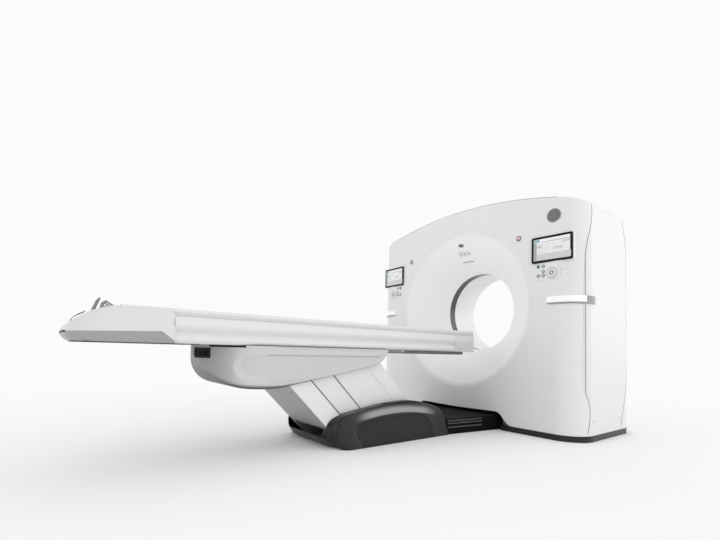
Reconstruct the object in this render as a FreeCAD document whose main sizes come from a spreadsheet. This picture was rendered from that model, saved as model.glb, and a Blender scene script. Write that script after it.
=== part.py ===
import FreeCAD, Part
import math
import os
import Sketcher

# Whole-body scanner: a ring-shaped gantry that holds the rotating source and detector, and a
# patient table on a slanted parallelogram leg. Millimetres, +Z up, +Y from the table into the
# gantry. The origin is on the floor straight below the point where the bore's axis meets the
# scan plane. Distances along Y are measured from the gantry's front face and moved by scan_y.

Vec = FreeCAD.Vector
doc = FreeCAD.newDocument("scanner")
sheet = doc.addObject("Spreadsheet::Sheet", "Sizes")

SIZES = [
    # gantry
    ("scan_y", 380), ("axis_z", 1057), ("bore_radius", 375), ("throat_radius", 430),
    ("funnel_radius", 712),
    ("funnel_depth", 339), ("funnel_round", 70), ("gantry_half", 1120), ("gantry_depth", 1000),
    ("gantry_top", 1985), ("arch_radius", 3830), ("corner_radius", 200), ("cover_low", 45),
    ("back_bow", 75), ("skin", 5), ("window_end", 420), ("liner_end", 743), ("liner_wall", 4),
    ("plinth_high", 44), ("seam_gap", 2),
    # gantry frame and bearing
    ("rail_x", 750), ("rail_wide", 120), ("rail_high", 80), ("anchor_y", 270), ("anchor_hole", 9),
    ("stator_inner", 505), ("stator_outer", 640), ("stator_front", 600), ("stator_back", 690),
    ("bearing_gap", 0.3), ("drum_outer", 790), ("drum_inner", 400), ("drum_front", 525),
    ("drum_back", 565), ("hub_inner", 440), ("hub_outer", 500), ("slip_outer", 600),
    ("tube_radius", 95), ("tube_orbit", 640), ("detector_radius", 1130), ("detector_thick", 60),
    ("fan_half", 24), ("pulley_radius", 60), ("pulley_x", 617), ("pulley_drop", 735.5),
    ("belt_thick", 4), ("belt_wide", 30), ("motor_radius", 85),
    # controls
    ("screen_in", 742), ("screen_out", 1056), ("screen_low", 1369), ("screen_high", 1575),
    ("button_radius", 11), ("button_gap", 0.4), ("dial_radius", 38), ("dial_x", 902.6),
    ("dial_z", 1280), ("stop_x", 623), ("stop_z", 1602), ("stop_radius", 15),
    ("bar_in", 857), ("bar_low", 1035), ("bar_high", 1095), ("bar_end", 220), ("bar_proud", 7),
    # table
    ("beam_head", -380), ("beam_foot", -2560), ("beam_low", 652), ("beam_deck", 793),
    ("cradle_top", 835), ("cradle_half", 222), ("cradle_foot", -2796), ("cradle_head", -12),
    ("cap_foot", -3021), ("side_half", 280), ("cover_wall", 5),
    ("leg_length", 580), ("foot_pivot_y", -1560), ("pivot_z", 130), ("head_pivot_y", -775),
    ("shaft_radius", 15), ("shaft_gap", 0.05), ("open_gap", 0.5), ("leg_half", 250),
    ("leg_plate", 4), ("leg_step", 5.5), ("link_in", 180), ("link_out", 192),
    ("cheek_in", 203), ("cheek_out", 211), ("base_half", 365), ("base_top_half", 338),
    ("tray_high", 120), ("tray_back_half", 440), ("tray_front_half", 350),
]
for row, (name, value) in enumerate(SIZES, start=1):
    sheet.set("A%d" % row, name)
    sheet.set("B%d" % row, repr(value))
    sheet.setAlias("B%d" % row, name)
doc.recompute()


class Size:
    """A number together with the sheet formula that gives it."""

    def __init__(self, value, text):
        self.value, self.text = float(value), text

    def _pair(self, other):
        if isinstance(other, Size):
            return other.value, other.text
        return float(other), "%r" % float(other)

    def __add__(self, other):
        v, t = self._pair(other)
        return Size(self.value + v, "(%s + %s)" % (self.text, t))

    def __radd__(self, other):
        return self + other

    def __sub__(self, other):
        v, t = self._pair(other)
        return Size(self.value - v, "(%s - %s)" % (self.text, t))

    def __rsub__(self, other):
        v, t = self._pair(other)
        return Size(v - self.value, "(%s - %s)" % (t, self.text))

    def __mul__(self, other):
        v, t = self._pair(other)
        return Size(self.value * v, "(%s * %s)" % (self.text, t))

    def __rmul__(self, other):
        return self * other

    def __neg__(self):
        return Size(-self.value, "(0 - %s)" % self.text)

    def __float__(self):
        return self.value


class Sheet:
    pass


S = Sheet()
for name, _ in SIZES:
    setattr(S, name, Size(sheet.get(name), "Sizes." + name))


def num(x):
    return float(x)


def fy(v):
    """A place along Y, given from the gantry's front face."""
    return v - S.scan_y


def bind(obj, prop, x):
    if isinstance(x, Size):
        obj.setExpression(prop, x.text)
    else:
        setattr(obj, prop, float(x))


def place(obj, at, rotation=None):
    obj.Placement = FreeCAD.Placement(Vec(*[num(a) for a in at]), rotation or FreeCAD.Rotation())
    for letter, a in zip("xyz", at):
        if isinstance(a, Size):
            obj.setExpression("Placement.Base." + letter, a.text)


TURN = {
    "x": FreeCAD.Rotation(Vec(0, 1, 0), 90),
    "y": FreeCAD.Rotation(Vec(1, 0, 0), -90),
    "z": FreeCAD.Rotation(),
}


def box(name, x0, x1, y0, y1, z0, z1):
    o = doc.addObject("Part::Box", name)
    bind(o, "Length", x1 - x0)
    bind(o, "Width", y1 - y0)
    bind(o, "Height", z1 - z0)
    place(o, (x0, y0, z0))
    return o


def cyl(name, axis, at, radius, length):
    o = doc.addObject("Part::Cylinder", name)
    bind(o, "Radius", radius)
    bind(o, "Height", length)
    place(o, at, TURN[axis])
    return o


def fuse(name, *objs):
    o = doc.addObject("Part::MultiFuse", name)
    o.Shapes = list(objs)
    return o


def cut(name, base, tool):
    o = doc.addObject("Part::Cut", name)
    o.Base, o.Tool = base, tool
    return o


def common(name, a, b):
    o = doc.addObject("Part::Common", name)
    o.Base, o.Tool = a, b
    return o


def rounded(name, base, radius, pick):
    """Rounds the edges of base that pick accepts."""
    doc.recompute()
    o = doc.addObject("Part::Fillet", name)
    o.Base = base
    o.Edges = [(i, radius, radius) for i, e in enumerate(base.Shape.Edges, 1) if pick(e)]
    return o


def origin_plane(body, role):
    for f in body.Origin.OriginFeatures:
        if f.Role == role:
            return f


def outline(body, name, role, points):
    """A closed sketch of straight runs, each corner held from the sheet."""
    s = body.newObject("Sketcher::SketchObject", name)
    s.AttachmentSupport = [(origin_plane(body, role), "")]
    s.MapMode = "FlatFace"
    flat = [(num(a), num(b)) for a, b in points]
    n = len(flat)
    for i in range(n):
        a, c = flat[i], flat[(i + 1) % n]
        s.addGeometry(Part.LineSegment(Vec(a[0], a[1], 0), Vec(c[0], c[1], 0)), False)
    for i in range(n):
        s.addConstraint(Sketcher.Constraint("Coincident", i, 2, (i + 1) % n, 1))
    for i, (p, v) in enumerate(zip(points, flat)):
        for kind, on, a, b in (("DistanceX", -2, p[0], v[0]), ("DistanceY", -1, p[1], v[1])):
            if abs(b) < 1e-9:
                s.addConstraint(Sketcher.Constraint("PointOnObject", i, 1, on))
                continue
            k = s.addConstraint(Sketcher.Constraint(kind, -1, 1, i, 1, b))
            if isinstance(a, Size):
                s.setExpression("Constraints[%d]" % k, a.text)
    return s


def turned(label, points, at):
    """A ring turned about the Y direction: points are (radius, along Y)."""
    body = doc.addObject("PartDesign::Body", label)
    s = outline(body, label + "_half", "XY_Plane", points)
    r = body.newObject("PartDesign::Revolution", label + "_turn")
    r.Profile = s
    r.ReferenceAxis = (s, ["V_Axis"])
    r.Angle = 360
    body.Tip = r
    place(body, at)
    return body


def disc_button(label, x, y, z, radius, thick, edge, stem=None):
    """A round push button whose face looks along -Y."""
    body = doc.addObject("PartDesign::Body", label)
    s = body.newObject("Sketcher::SketchObject", label + "_round")
    s.AttachmentSupport = [(origin_plane(body, "XZ_Plane"), "")]
    s.MapMode = "FlatFace"
    s.addGeometry(Part.Circle(Vec(0, 0, 0), Vec(0, 0, 1), num(radius)), False)
    s.addConstraint(Sketcher.Constraint("Coincident", 0, 3, -1, 1))
    k = s.addConstraint(Sketcher.Constraint("Radius", 0, num(radius)))
    bind_k = radius.text if isinstance(radius, Size) else None
    if bind_k:
        s.setExpression("Constraints[%d]" % k, bind_k)
    p = body.newObject("PartDesign::Pad", label + "_pad")
    p.Profile = s
    p.Length = thick
    p.Reversed = True
    doc.recompute()
    f = body.newObject("PartDesign::Fillet", label + "_edge")
    front = [
        "Edge%d" % i
        for i, e in enumerate(p.Shape.Edges, 1)
        if e.BoundBox.YMax < 0.01 and e.Length > num(radius)
    ]
    f.Base = (p, front)
    f.Radius = edge
    body.Tip = f
    place(body, (x, y, z))
    return body


def feature(label, shape):
    o = doc.addObject("Part::Feature", label)
    o.Shape = shape
    return o


NODES = []


def node(label, obj):
    obj.Label = label
    NODES.append(obj)
    return obj


# ---------------------------------------------------------------- shape helpers
def wire_of(edges):
    return Part.Wire(Part.__sortEdges__(edges))


def face_yz(points, x=0.0):
    return Part.Face(Part.makePolygon([Vec(x, a, b) for a, b in points + points[:1]]))


def face_xz(points, y=0.0):
    return Part.Face(Part.makePolygon([Vec(a, y, b) for a, b in points + points[:1]]))


def face_xy(points, z=0.0):
    return Part.Face(Part.makePolygon([Vec(a, b, z) for a, b in points + points[:1]]))


def spline(points):
    c = Part.BSplineCurve()
    c.interpolate([Vec(*p) for p in points])
    return c.toShape()


def line(a, b):
    return Part.makeLine(Vec(*a), Vec(*b))


def arc3(a, b, c):
    return Part.Arc(Vec(*a), Vec(*b), Vec(*c)).toShape()


def solid_box(x0, x1, y0, y1, z0, z1):
    return Part.makeBox(x1 - x0, y1 - y0, z1 - z0, Vec(x0, y0, z0))


def one_solid(shape):
    s = shape.removeSplitter()
    return s.Solids[0] if len(s.Solids) == 1 else s


def mirrored(shape):
    return shape.mirror(Vec(0, 0, 0), Vec(1, 0, 0))


def try_fillet(shape, radius, pick):
    """The shape with its picked edges rounded, or as it was where the round doesn't close."""
    edges = [e for e in shape.Edges if pick(e)]
    for r in (radius, radius * 0.6, radius * 0.3):
        try:
            out = shape.makeFillet(r, edges)
            if out.isValid() and not out.isNull() and 0 < out.Volume <= shape.Volume * 1.001:
                return out
        except Exception:
            pass
    print("left sharp", radius, len(edges))
    return shape


# ---------------------------------------------------------------- gantry envelope
HALF, TOP, DEPTH = num(S.gantry_half), num(S.gantry_top), num(S.gantry_depth)
ARCH, LOW, BOW, SY, AZ = (
    num(S.arch_radius), num(S.cover_low), num(S.back_bow), num(S.scan_y), num(S.axis_z))
SKIN, ROUND = num(S.skin), num(S.corner_radius)


def envelope(off, low):
    """The gantry's outside, moved out by off: arch, plan outline and bowed back together."""
    w, r, rc = HALF + off, ARCH + off, 42.0 + off
    za = TOP - ARCH
    zc = za + math.sqrt((r - rc) ** 2 - (w - rc) ** 2)
    k = r / math.hypot(w - rc, zc - za)
    tx, tz = (w - rc) * k, za + (zc - za) * k
    h = math.sqrt(0.5)
    mid = (w - rc + rc * math.cos(math.radians(55)), zc + rc * math.sin(math.radians(55)))
    y = -600.0
    edges = [
        line((-w, y, low), (w, y, low)),
        line((w, y, low), (w, y, zc)),
        arc3((w, y, zc), (mid[0], y, mid[1]), (tx, y, tz)),
        arc3((tx, y, tz), (0, y, za + r), (-tx, y, tz)),
        arc3((-tx, y, tz), (-mid[0], y, mid[1]), (-w, y, zc)),
        line((-w, y, zc), (-w, y, low)),
    ]
    front = Part.Face(wire_of(edges)).extrude(Vec(0, 2400, 0))
    f, b, q = -off, DEPTH + off, ROUND + off
    d = q * (1 - h)
    # the plan is a little wider, so that its corner rounds cross the arch's sides, not graze them
    w = w + 0.1
    edges = [
        line((-w + q, f, low), (w - q, f, low)),
        arc3((w - q, f, low), (w - d, f + d, low), (w, f + q, low)),
        line((w, f + q, low), (w, b - q, low)),
        arc3((w, b - q, low), (w - d, b - d, low), (w - q, b, low)),
        line((w - q, b, low), (-w + q, b, low)),
        arc3((-w + q, b, low), (-w + d, b - d, low), (-w, b - q, low)),
        line((-w, b - q, low), (-w, f + q, low)),
        arc3((-w, f + q, low), (-w + d, f + d, low), (-w + q, f, low)),
    ]
    plan = Part.Face(wire_of(edges)).extrude(Vec(0, 0, 2400))
    x = -1400.0
    zb, zt = 45.0 - 300, 1985.0 + 300
    zm = (45.0 + 1985.0) / 2
    r2 = ((1985.0 - 45.0) ** 2 / 4 + BOW ** 2) / (2 * BOW)
    reach = math.sqrt((r2 + off) ** 2 - (zt - zm) ** 2)
    yb = DEPTH - r2
    edges = [
        line((x, -700, zb), (x, yb + reach, zb)),
        arc3((x, yb + reach, zb), (x, yb + r2 + off, zm), (x, yb + reach, zt)),
        line((x, yb + reach, zt), (x, -700, zt)),
        line((x, -700, zt), (x, -700, zb)),
    ]
    side = Part.Face(wire_of(edges)).extrude(Vec(2800, 0, 0))
    return front.common(plan).common(side)


def top_front(e):
    """The edge where the arch meets the front, sides' corner rounds included."""
    b = e.BoundBox
    return b.ZMin > 1700 and b.YMax < ROUND + 5 and e.Length > 20


E0 = envelope(0, LOW)
E0 = try_fillet(E0, 14, top_front)
E_IN = envelope(-SKIN, -200.0)
SHELL = E0.cut(E_IN)

FRONT_SEAM = [(130, -60), (135, 59), (155, 168), (148, 286), (112, 376), (96, 465), (97, 740),
              (99.6, 1010), (104, 1280), (128, 1520), (200, 1700), (172, 1820), (150, 1900), (148, 2060)]
BACK_SEAM = [(690, -60), (716, 50), (800, 280), (869, 510), (878, 820), (875, 1130), (857, 1480),
             (800, 1680), (748, 1840), (735, 1920), (733, 2060)]
# the seams are drawn without the small waver of their points
FRONT_SEAM[10] = (176, 1700)
FRONT_SEAM[9] = (132, 1520)


def seam_region(seam, off, far):
    """Everything on one side of a seam, as a block across the gantry."""
    pts = [(-1300.0, y + off, z) for y, z in seam]
    edges = [
        spline(pts),
        line(pts[-1], (-1300.0, far, pts[-1][2])),
        line((-1300.0, far, pts[-1][2]), (-1300.0, far, pts[0][2])),
        line((-1300.0, far, pts[0][2]), pts[0]),
    ]
    return Part.Face(wire_of(edges)).extrude(Vec(2600, 0, 0))


GAP = num(S.seam_gap) / 2
front_part = SHELL.common(seam_region(FRONT_SEAM, -GAP, -900.0))
back_part = SHELL.common(seam_region(BACK_SEAM, GAP, 1900.0))
mid_part = SHELL.cut(seam_region(FRONT_SEAM, GAP, -900.0)).cut(seam_region(BACK_SEAM, -GAP, 1900.0))


def revolved(points, arcs=()):
    """A shape turned about the bore's axis. points are (radius, along Y); arcs maps the number
    of a run to the point it passes through."""
    edges = []
    n = len(points)
    for i in range(n):
        a, c = points[i], points[(i + 1) % n]
        pa, pc = (a[0], a[1], AZ), (c[0], c[1], AZ)
        if i in arcs:
            m = arcs[i]
            edges.append(arc3(pa, (m[0], m[1], AZ), pc))
        else:
            edges.append(line(pa, pc))
    face = Part.Face(wire_of(edges))
    return face.revolve(Vec(0, 0, AZ), Vec(0, 1, 0), 360)


# Front cover: one moulding with the funnel, whose rim is a soft round
BORE, FUN, FD, FR = (
    num(S.bore_radius), num(S.funnel_radius), num(S.funnel_depth), num(S.funnel_round))
run = math.hypot(FUN - BORE, FD)
ux, uy = (BORE - FUN) / run, FD / run
turn = math.acos(-ux)
tl = FR * math.tan(turn / 2)
cx, cy = FUN + tl, FR
t2 = (FUN + ux * tl, uy * tl)
md = ((t2[0] - cx) / FR + 0.0, (t2[1] - cy) / FR - 1.0)
ml = math.hypot(*md)
md = (md[0] / ml, md[1] / ml)


def on_arc(d, r):
    return (cx + d[0] * r, cy + d[1] * r)


d2 = ((t2[0] - cx) / FR, (t2[1] - cy) / FR)
inner2 = on_arc(d2, FR - SKIN)
end_r = inner2[0] + (FD - inner2[1]) * ux / uy
rim = cx + 10
# the funnel ends at the throat, a ring of its own that goes on to the bore
THROAT = num(S.throat_radius)
split = (THROAT, FD * (FUN - THROAT) / (FUN - BORE))
split_in = (split[0] - SKIN * d2[0], split[1] - SKIN * d2[1])
funnel = revolved(
    [(cx, 0), t2, split, split_in, inner2, (cx, SKIN), (rim, SKIN), (rim, 0)],
    {0: on_arc(md, FR), 4: on_arc(md, FR - SKIN)},
)
hole = Part.makeCylinder(rim, 40, Vec(0, -20, AZ), Vec(0, 1, 0))
front = front_part.cut(hole).fuse(funnel)
# raised middle of the lower edge, over the floor tray
gate = [(-596, 20), (-594, 43), (-560, 46), (-529, 58), (-500, 83), (-470, 121), (-431, 146), (-380, 150)]
gate = gate + [(-x, z) for x, z in reversed(gate)]
gate_edges = [spline([(x, -60.0, z) for x, z in gate]), line((596, -60, 20), (-596, -60, 20))]
front = front.cut(Part.Face(wire_of(gate_edges)).extrude(Vec(0, 200, 0)))
for side in (-1, 1):
    at = Vec(side * num(S.stop_x), -8, num(S.stop_z))
    front = front.fuse(Part.makeCylinder(22.5, 8, at, Vec(0, 1, 0)).cut(
        Part.makeCylinder(num(S.stop_radius) + 1, 8, at, Vec(0, 1, 0))))
SHIFT = Vec(0, -SY, 0)


def put(label, shape):
    shape = one_solid(shape)
    shape.translate(SHIFT)
    return node(label, feature(label, shape))


put("front_cover", front)
put("front_throat", revolved([split, (BORE, FD), (end_r, FD), split_in]))

# Rear cover with the flare behind the bore
BE = num(S.liner_end)
w5 = SKIN * math.sqrt(2)
air = revolved([(0.001, BE - 0.001), (BORE, BE - 0.001), (BORE + 400, BE + 400), (0.001, BE + 400)])
deep = THROAT - BORE
wall = revolved([(THROAT, BE + deep), (THROAT + w5, BE + deep), (BORE + 400 + w5, BE + 400),
                 (BORE + 400, BE + 400)])
put("rear_cover", back_part.cut(air).fuse(wall.common(E0)))
put("rear_throat", revolved([(BORE, BE), (BORE + w5, BE), (THROAT + w5, BE + deep), (THROAT, BE + deep)]))

# Side covers and top cover between the two seams
for label, x0, x1 in (("side_cover_left", -1300, -1063), ("side_cover_right", 1063, 1300)):
    piece = mid_part.common(solid_box(x0, x1, -900, 1900, -300, 2400))
    s = 1 if x0 > 0 else -1
    for y, z in ((205.5, 152.0), (697.0, 143.0)):
        piece = piece.cut(Part.makeCylinder(3.2, 30, Vec(s * 1105, y, z), Vec(s, 0, 0)))
    put(label, piece)
top = mid_part.common(solid_box(-1061, 1061, -900, 1900, 1500, 2400))
for i in range(-3, 4):
    for y in (330.0, 470.0, 610.0):
        if abs(i) > 0:
            top = top.cut(solid_box(i * 230 - 90, i * 230 + 90, y - 7, y + 7, 1500, 2400))
put("top_cover", top)

# Screws of the side covers
screws = None
for s in (-1, 1):
    for y, z in ((205.5, 152.0), (697.0, 143.0)):
        one = Part.makeCylinder(7, 2.5, Vec(s * HALF, y, z), Vec(s, 0, 0)).fuse(
            Part.makeCylinder(3, 10, Vec(s * (HALF - 10), y, z), Vec(s, 0, 0)))
        one = one.cut(Part.makeBox(1.2, 10, 1.6, Vec(s * (HALF + 2.5) - 1.2 * (s > 0), y - 5, z - 0.8)))
        one = one.removeSplitter()
        screws = [one] if screws is None else screws + [one]
group = Part.makeCompound(screws)
group.translate(SHIFT)
node("cover_screws", feature("cover_screws", group))

# Plinth round the foot of the covers
PH = num(S.plinth_high)
foot_ring = envelope(3, 0.0).cut(envelope(-22, -50.0)).common(solid_box(-1400, 1400, -200, 1300, 0, PH))
foot_ring = foot_ring.cut(solid_box(-470, 470, -200, 300, -10, 100))
put("plinth", foot_ring)

# ---------------------------------------------------------------- bore
node("scan_window", turned("scan_window", [
    (S.bore_radius, S.funnel_depth + 0.5), (S.bore_radius + S.liner_wall, S.funnel_depth + 0.5),
    (S.bore_radius + S.liner_wall, S.window_end), (S.bore_radius, S.window_end)],
    (0, fy(0), S.axis_z)))
node("bore_liner", turned("bore_liner", [
    (S.bore_radius, S.window_end), (S.bore_radius + S.liner_wall, S.window_end),
    (S.bore_radius + S.liner_wall, S.liner_end), (S.bore_radius, S.liner_end)],
    (0, fy(0), S.axis_z)))

# ---------------------------------------------------------------- gantry frame
parts = []
for s, tag in ((-1, "left"), (1, "right")):
    a = S.rail_x * s - S.rail_wide * 0.5
    rail = box("rail_" + tag, a, a + S.rail_wide, fy(80), fy(740), 0, S.rail_high)
    x0, x1 = (560, 760) if s > 0 else (-760, -560)
    g0, g1 = (480, 760) if s > 0 else (-760, -480)
    post = box("post_" + tag, x0, x1, fy(605), fy(685), S.rail_high, 1240)
    gusset = box("gusset_" + tag, g0, g1, fy(605), fy(685), S.rail_high, 430)
    parts += [rail, post, gusset]
parts.append(box("cross_back", -690, 690, fy(605), fy(685), 0, S.rail_high))
parts.append(box("cross_front", -690, 690, fy(90), fy(150), 0, S.rail_high))
welded = fuse("frame_weldment", *parts)
holes = [cyl("ring_seat", "y", (0, fy(595), S.axis_z), S.stator_outer, 100),
         cyl("motor_seat", "y", (S.pulley_x, fy(595), S.axis_z - S.pulley_drop), S.motor_radius + 1, 100)]
for i, (sx, sy) in enumerate(((-1, -1), (1, -1), (-1, 1), (1, 1))):
    holes.append(cyl("anchor_%d" % i, "z", (S.rail_x * sx, S.anchor_y * sy, -5), S.anchor_hole, 100))
node("gantry_frame", cut("gantry_frame", welded, fuse("frame_holes", *holes)))

node("stator_ring", turned("stator_ring", [
    (S.stator_inner, S.stator_front), (S.stator_outer, S.stator_front),
    (S.stator_outer, S.stator_back), (S.stator_inner, S.stator_back)], (0, fy(0), S.axis_z)))
node("bearing_inner_ring", turned("bearing_inner_ring", [
    (S.hub_inner, S.stator_front), (S.stator_inner - S.bearing_gap, S.stator_front),
    (S.stator_inner - S.bearing_gap, S.stator_back), (S.hub_inner, S.stator_back)],
    (0, fy(0), S.axis_z)))
node("rotor_drum", turned("rotor_drum", [
    (S.drum_inner, S.drum_front), (S.drum_outer, S.drum_front), (S.drum_outer, S.drum_back),
    (S.hub_outer, S.drum_back), (S.hub_outer, S.stator_front), (S.hub_inner, S.stator_front),
    (S.hub_inner, S.drum_back), (S.drum_inner, S.drum_back)], (0, fy(0), S.axis_z)))
node("slip_ring", turned("slip_ring", [
    (S.hub_inner, S.stator_back), (S.hub_outer, S.stator_back), (S.hub_outer, S.stator_back + 3),
    (S.slip_outer, S.stator_back + 3), (S.slip_outer, S.stator_back + 45),
    (S.hub_inner, S.stator_back + 45)], (0, fy(0), S.axis_z)))

# source, collimator, generator, counterweight
node("xray_tube", fuse("xray_tube",
     cyl("tube_case", "y", (0, fy(300), S.axis_z + S.tube_orbit), S.tube_radius, S.drum_front - 300),
     cyl("tube_bell", "y", (0, fy(270), S.axis_z + S.tube_orbit), 60, 40)))
node("collimator", fuse("collimator",
     box("col_case", -110, 110, fy(335), fy(425), S.axis_z + 480, S.axis_z + S.tube_orbit - S.tube_radius),
     box("col_arm", -60, 60, fy(420), fy(S.drum_front), S.axis_z + 490, S.axis_z + 535)))
gen = box("gen_case", 480, 690, fy(320), fy(S.drum_front), S.axis_z - 150, S.axis_z + 150)
node("hv_generator", rounded("hv_generator", gen, 12, lambda e: abs(e.Length - (525 - 320)) < 1))
cw = box("weight_case", -700, -500, fy(400), fy(S.drum_front), S.axis_z - 95, S.axis_z + 95)
node("counterweight", rounded("counterweight", cw, 10, lambda e: abs(e.Length - 125) < 1))

# detector: an arc about the source's focal spot
fz = AZ + num(S.tube_orbit)
r1, r2 = num(S.detector_radius), num(S.detector_radius) + num(S.detector_thick)
half = math.radians(num(S.fan_half))


def fan(r, a):
    return (r * math.sin(a), 340.0, fz - r * math.cos(a))


detector = Part.Face(wire_of([
    arc3(fan(r1, -half), fan(r1, 0), fan(r1, half)), line(fan(r1, half), fan(r2, half)),
    arc3(fan(r2, half), fan(r2, 0), fan(r2, -half)), line(fan(r2, -half), fan(r1, -half)),
])).extrude(Vec(0, num(S.drum_front) - 340, 0))
put("detector_arc", detector)

# belt drive: motor, pulley and the belt round the drum's rim
PX, PZ = num(S.pulley_x), AZ - num(S.pulley_drop)
motor = fuse("motor_body",
     cyl("motor_case", "y", (S.pulley_x, fy(605), S.axis_z - S.pulley_drop), S.motor_radius, 175),
     cyl("motor_flange", "y", (S.pulley_x, fy(597), S.axis_z - S.pulley_drop), S.motor_radius + 25, 8))
node("drive_motor", cut("drive_motor", motor,
     cyl("motor_bore", "y", (S.pulley_x, fy(590), S.axis_z - S.pulley_drop), 15.3, 60)))
node("motor_pulley", turned("motor_pulley", [
    (0, 526), (66, 526), (66, 529), (S.pulley_radius, 529), (S.pulley_radius, 561), (66, 561),
    (66, 564), (15, 564), (15, 640), (0, 640)], (S.pulley_x, fy(0), S.axis_z - S.pulley_drop)))


def belt_loop(extra):
    """The filled outline of a belt round drum and pulley, extra beyond their radii."""
    ra, rb = num(S.drum_outer) + extra, num(S.pulley_radius) + extra
    d = math.hypot(PX, PZ - AZ)
    ex, ez = PX / d, (PZ - AZ) / d
    sb = (ra - rb) / d
    cb = math.sqrt(1 - sb * sb)
    pts = []
    for side in (1, -1):
        nx, nz = ex * sb - side * ez * cb, ez * sb + side * ex * cb
        pts.append(((nx * ra, 531.0, AZ + nz * ra), (PX + nx * rb, 531.0, PZ + nz * rb)))
    back = (-ex * ra, 531.0, AZ - ez * ra)
    nose = (PX + ex * rb, 531.0, PZ + ez * rb)
    return Part.Face(wire_of([
        arc3(pts[0][0], back, pts[1][0]), line(pts[1][0], pts[1][1]),
        arc3(pts[1][1], nose, pts[0][1]), line(pts[0][1], pts[0][0]),
    ])).extrude(Vec(0, num(S.belt_wide) - 2, 0))


put("drive_belt", belt_loop(0.4 + num(S.belt_thick)).cut(belt_loop(0.4)))

# ---------------------------------------------------------------- controls on the front
for s, side in ((-1, "left"), (1, "right")):
    a, b, lo, hi = num(S.screen_in), num(S.screen_out), num(S.screen_low), num(S.screen_high)
    pts = [(a, -14.0), (b, 6.0), (b, 90.0), (a, 30.0)]
    tablet = face_xy(pts, lo).extrude(Vec(0, 0, hi - lo))
    rr = 12.0
    frame_ = solid_box(a, b, -100, 200, lo, hi)
    frame_ = frame_.makeFillet(rr, [e for e in frame_.Edges if abs(e.Length - 300) < 1])
    tablet = tablet.common(frame_).cut(E0)
    put("tablet_" + side, tablet if s > 0 else mirrored(tablet))

BUTTONS = [(794, 1340), (835, 1339), (835, 1297), (794, 1266.5), (835, 1265)]
plates = []
for s, side in ((-1, "left"), (1, "right")):
    plate = solid_box(770, 950, -4, 40, 1232, 1362)
    plate = plate.makeFillet(8, [e for e in plate.Edges if abs(e.Length - 44) < 1]).cut(E0)
    clear_r = num(S.button_radius) + num(S.button_gap)
    for x, z in BUTTONS:
        plate = plate.cut(Part.makeCylinder(clear_r, 60, Vec(x, -20, z), Vec(0, 1, 0)))
    plate = plate.cut(Part.makeCylinder(num(S.dial_radius) + num(S.button_gap), 60,
                                        Vec(num(S.dial_x), -20, num(S.dial_z)), Vec(0, 1, 0)))
    plates.append(plate if s > 0 else mirrored(plate))
    for i, (x, z) in enumerate(BUTTONS, 1):
        node("button_%s_%d" % (side, i), disc_button(
            "button_%s_%d" % (side, i), x * s, fy(-7), z, S.button_radius, 5, 1.2))
    node("dial_button_" + side, disc_button(
        "dial_button_" + side, S.dial_x * s, fy(-8), S.dial_z, S.dial_radius, 6, 1.5))
    node("stop_button_" + side, disc_button(
        "stop_button_" + side, S.stop_x * s, fy(-21), S.stop_z, S.stop_radius, 16, 4))

put("control_panels", Part.makeCompound(plates))

# light bars that start on the front and turn the corner
bars = []
for s in (-1, 1):
    r = (num(S.bar_high) - num(S.bar_low)) / 2
    zc = (num(S.bar_high) + num(S.bar_low)) / 2
    zone = solid_box(num(S.bar_in) + r, 1300, -100, num(S.bar_end), zc - r, zc + r).fuse(
        Part.makeCylinder(r, 200, Vec(num(S.bar_in) + r, -100, zc), Vec(0, 1, 0)))
    bar = envelope(num(S.bar_proud), LOW).cut(E0).common(zone)
    bars.append(bar if s > 0 else mirrored(bar))
put("light_bars", Part.makeCompound(bars))

# ---------------------------------------------------------------- table leg
L = num(S.leg_length)
REST = math.radians(45)
LOWER, UPPER = math.radians(22), math.radians(65)
FOOT = (num(S.foot_pivot_y), num(S.pivot_z))
HEADP = (num(S.head_pivot_y), num(S.pivot_z))
RISE = (-L * math.cos(REST), L * math.sin(REST))
TOPZ = num(S.pivot_z) + RISE[1]


def leg_point(pivot, a, q):
    """A point of the leg: a along it from the lower pivot, q across it towards the head end."""
    return (pivot[0] - a * math.cos(REST) + q * math.sin(REST),
            pivot[1] + a * math.sin(REST) + q * math.cos(REST))


def strip(pivot, q0, q1, top_room=92.0, low_room=88.0):
    """A leg panel's outline, its ends trimmed so that it stays clear at both limits."""
    def top_end(q):
        best = 95.0
        for t in (LOWER, (LOWER + REST) / 2, REST, (REST + UPPER) / 2, UPPER):
            best = min(best, (top_room - q * math.cos(t)) / math.sin(t))
        return L + best

    def low_end(q):
        best = -60.0
        for t in (LOWER, (LOWER + REST) / 2, REST, (REST + UPPER) / 2, UPPER):
            best = max(best, (-low_room - q * math.cos(t)) / math.sin(t))
        return best

    steps = [q0 + (q1 - q0) * i / 8 for i in range(9)]
    pts = [leg_point(pivot, low_end(q), q) for q in steps]
    pts += [leg_point(pivot, top_end(q), q) for q in reversed(steps)]
    return pts


def pair(points, outer, thick):
    """The same panel on both sides of the leg."""
    a = face_yz(points, outer - thick).extrude(Vec(thick, 0, 0))
    return a, mirrored(a)


ACROSS = (num(S.head_pivot_y) - num(S.foot_pivot_y)) * math.sin(REST)
EDGE = 32.0
HALF_LEG, PLATE, STEP = num(S.leg_half), num(S.leg_plate), num(S.leg_step)
# panels in coordinates across the leg, from the face that looks to the foot end
P_A, P_B, P_C, P_D = EDGE, 130.0, 360.0, EDGE + ACROSS
SEAM1, SEAM2, SEAM3 = 124.0, 266.0, 510.0
FACE_D = P_D + EDGE


def pivot_at(p):
    return (FOOT[0] + (p - P_A) / math.sin(REST), FOOT[1])


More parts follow.
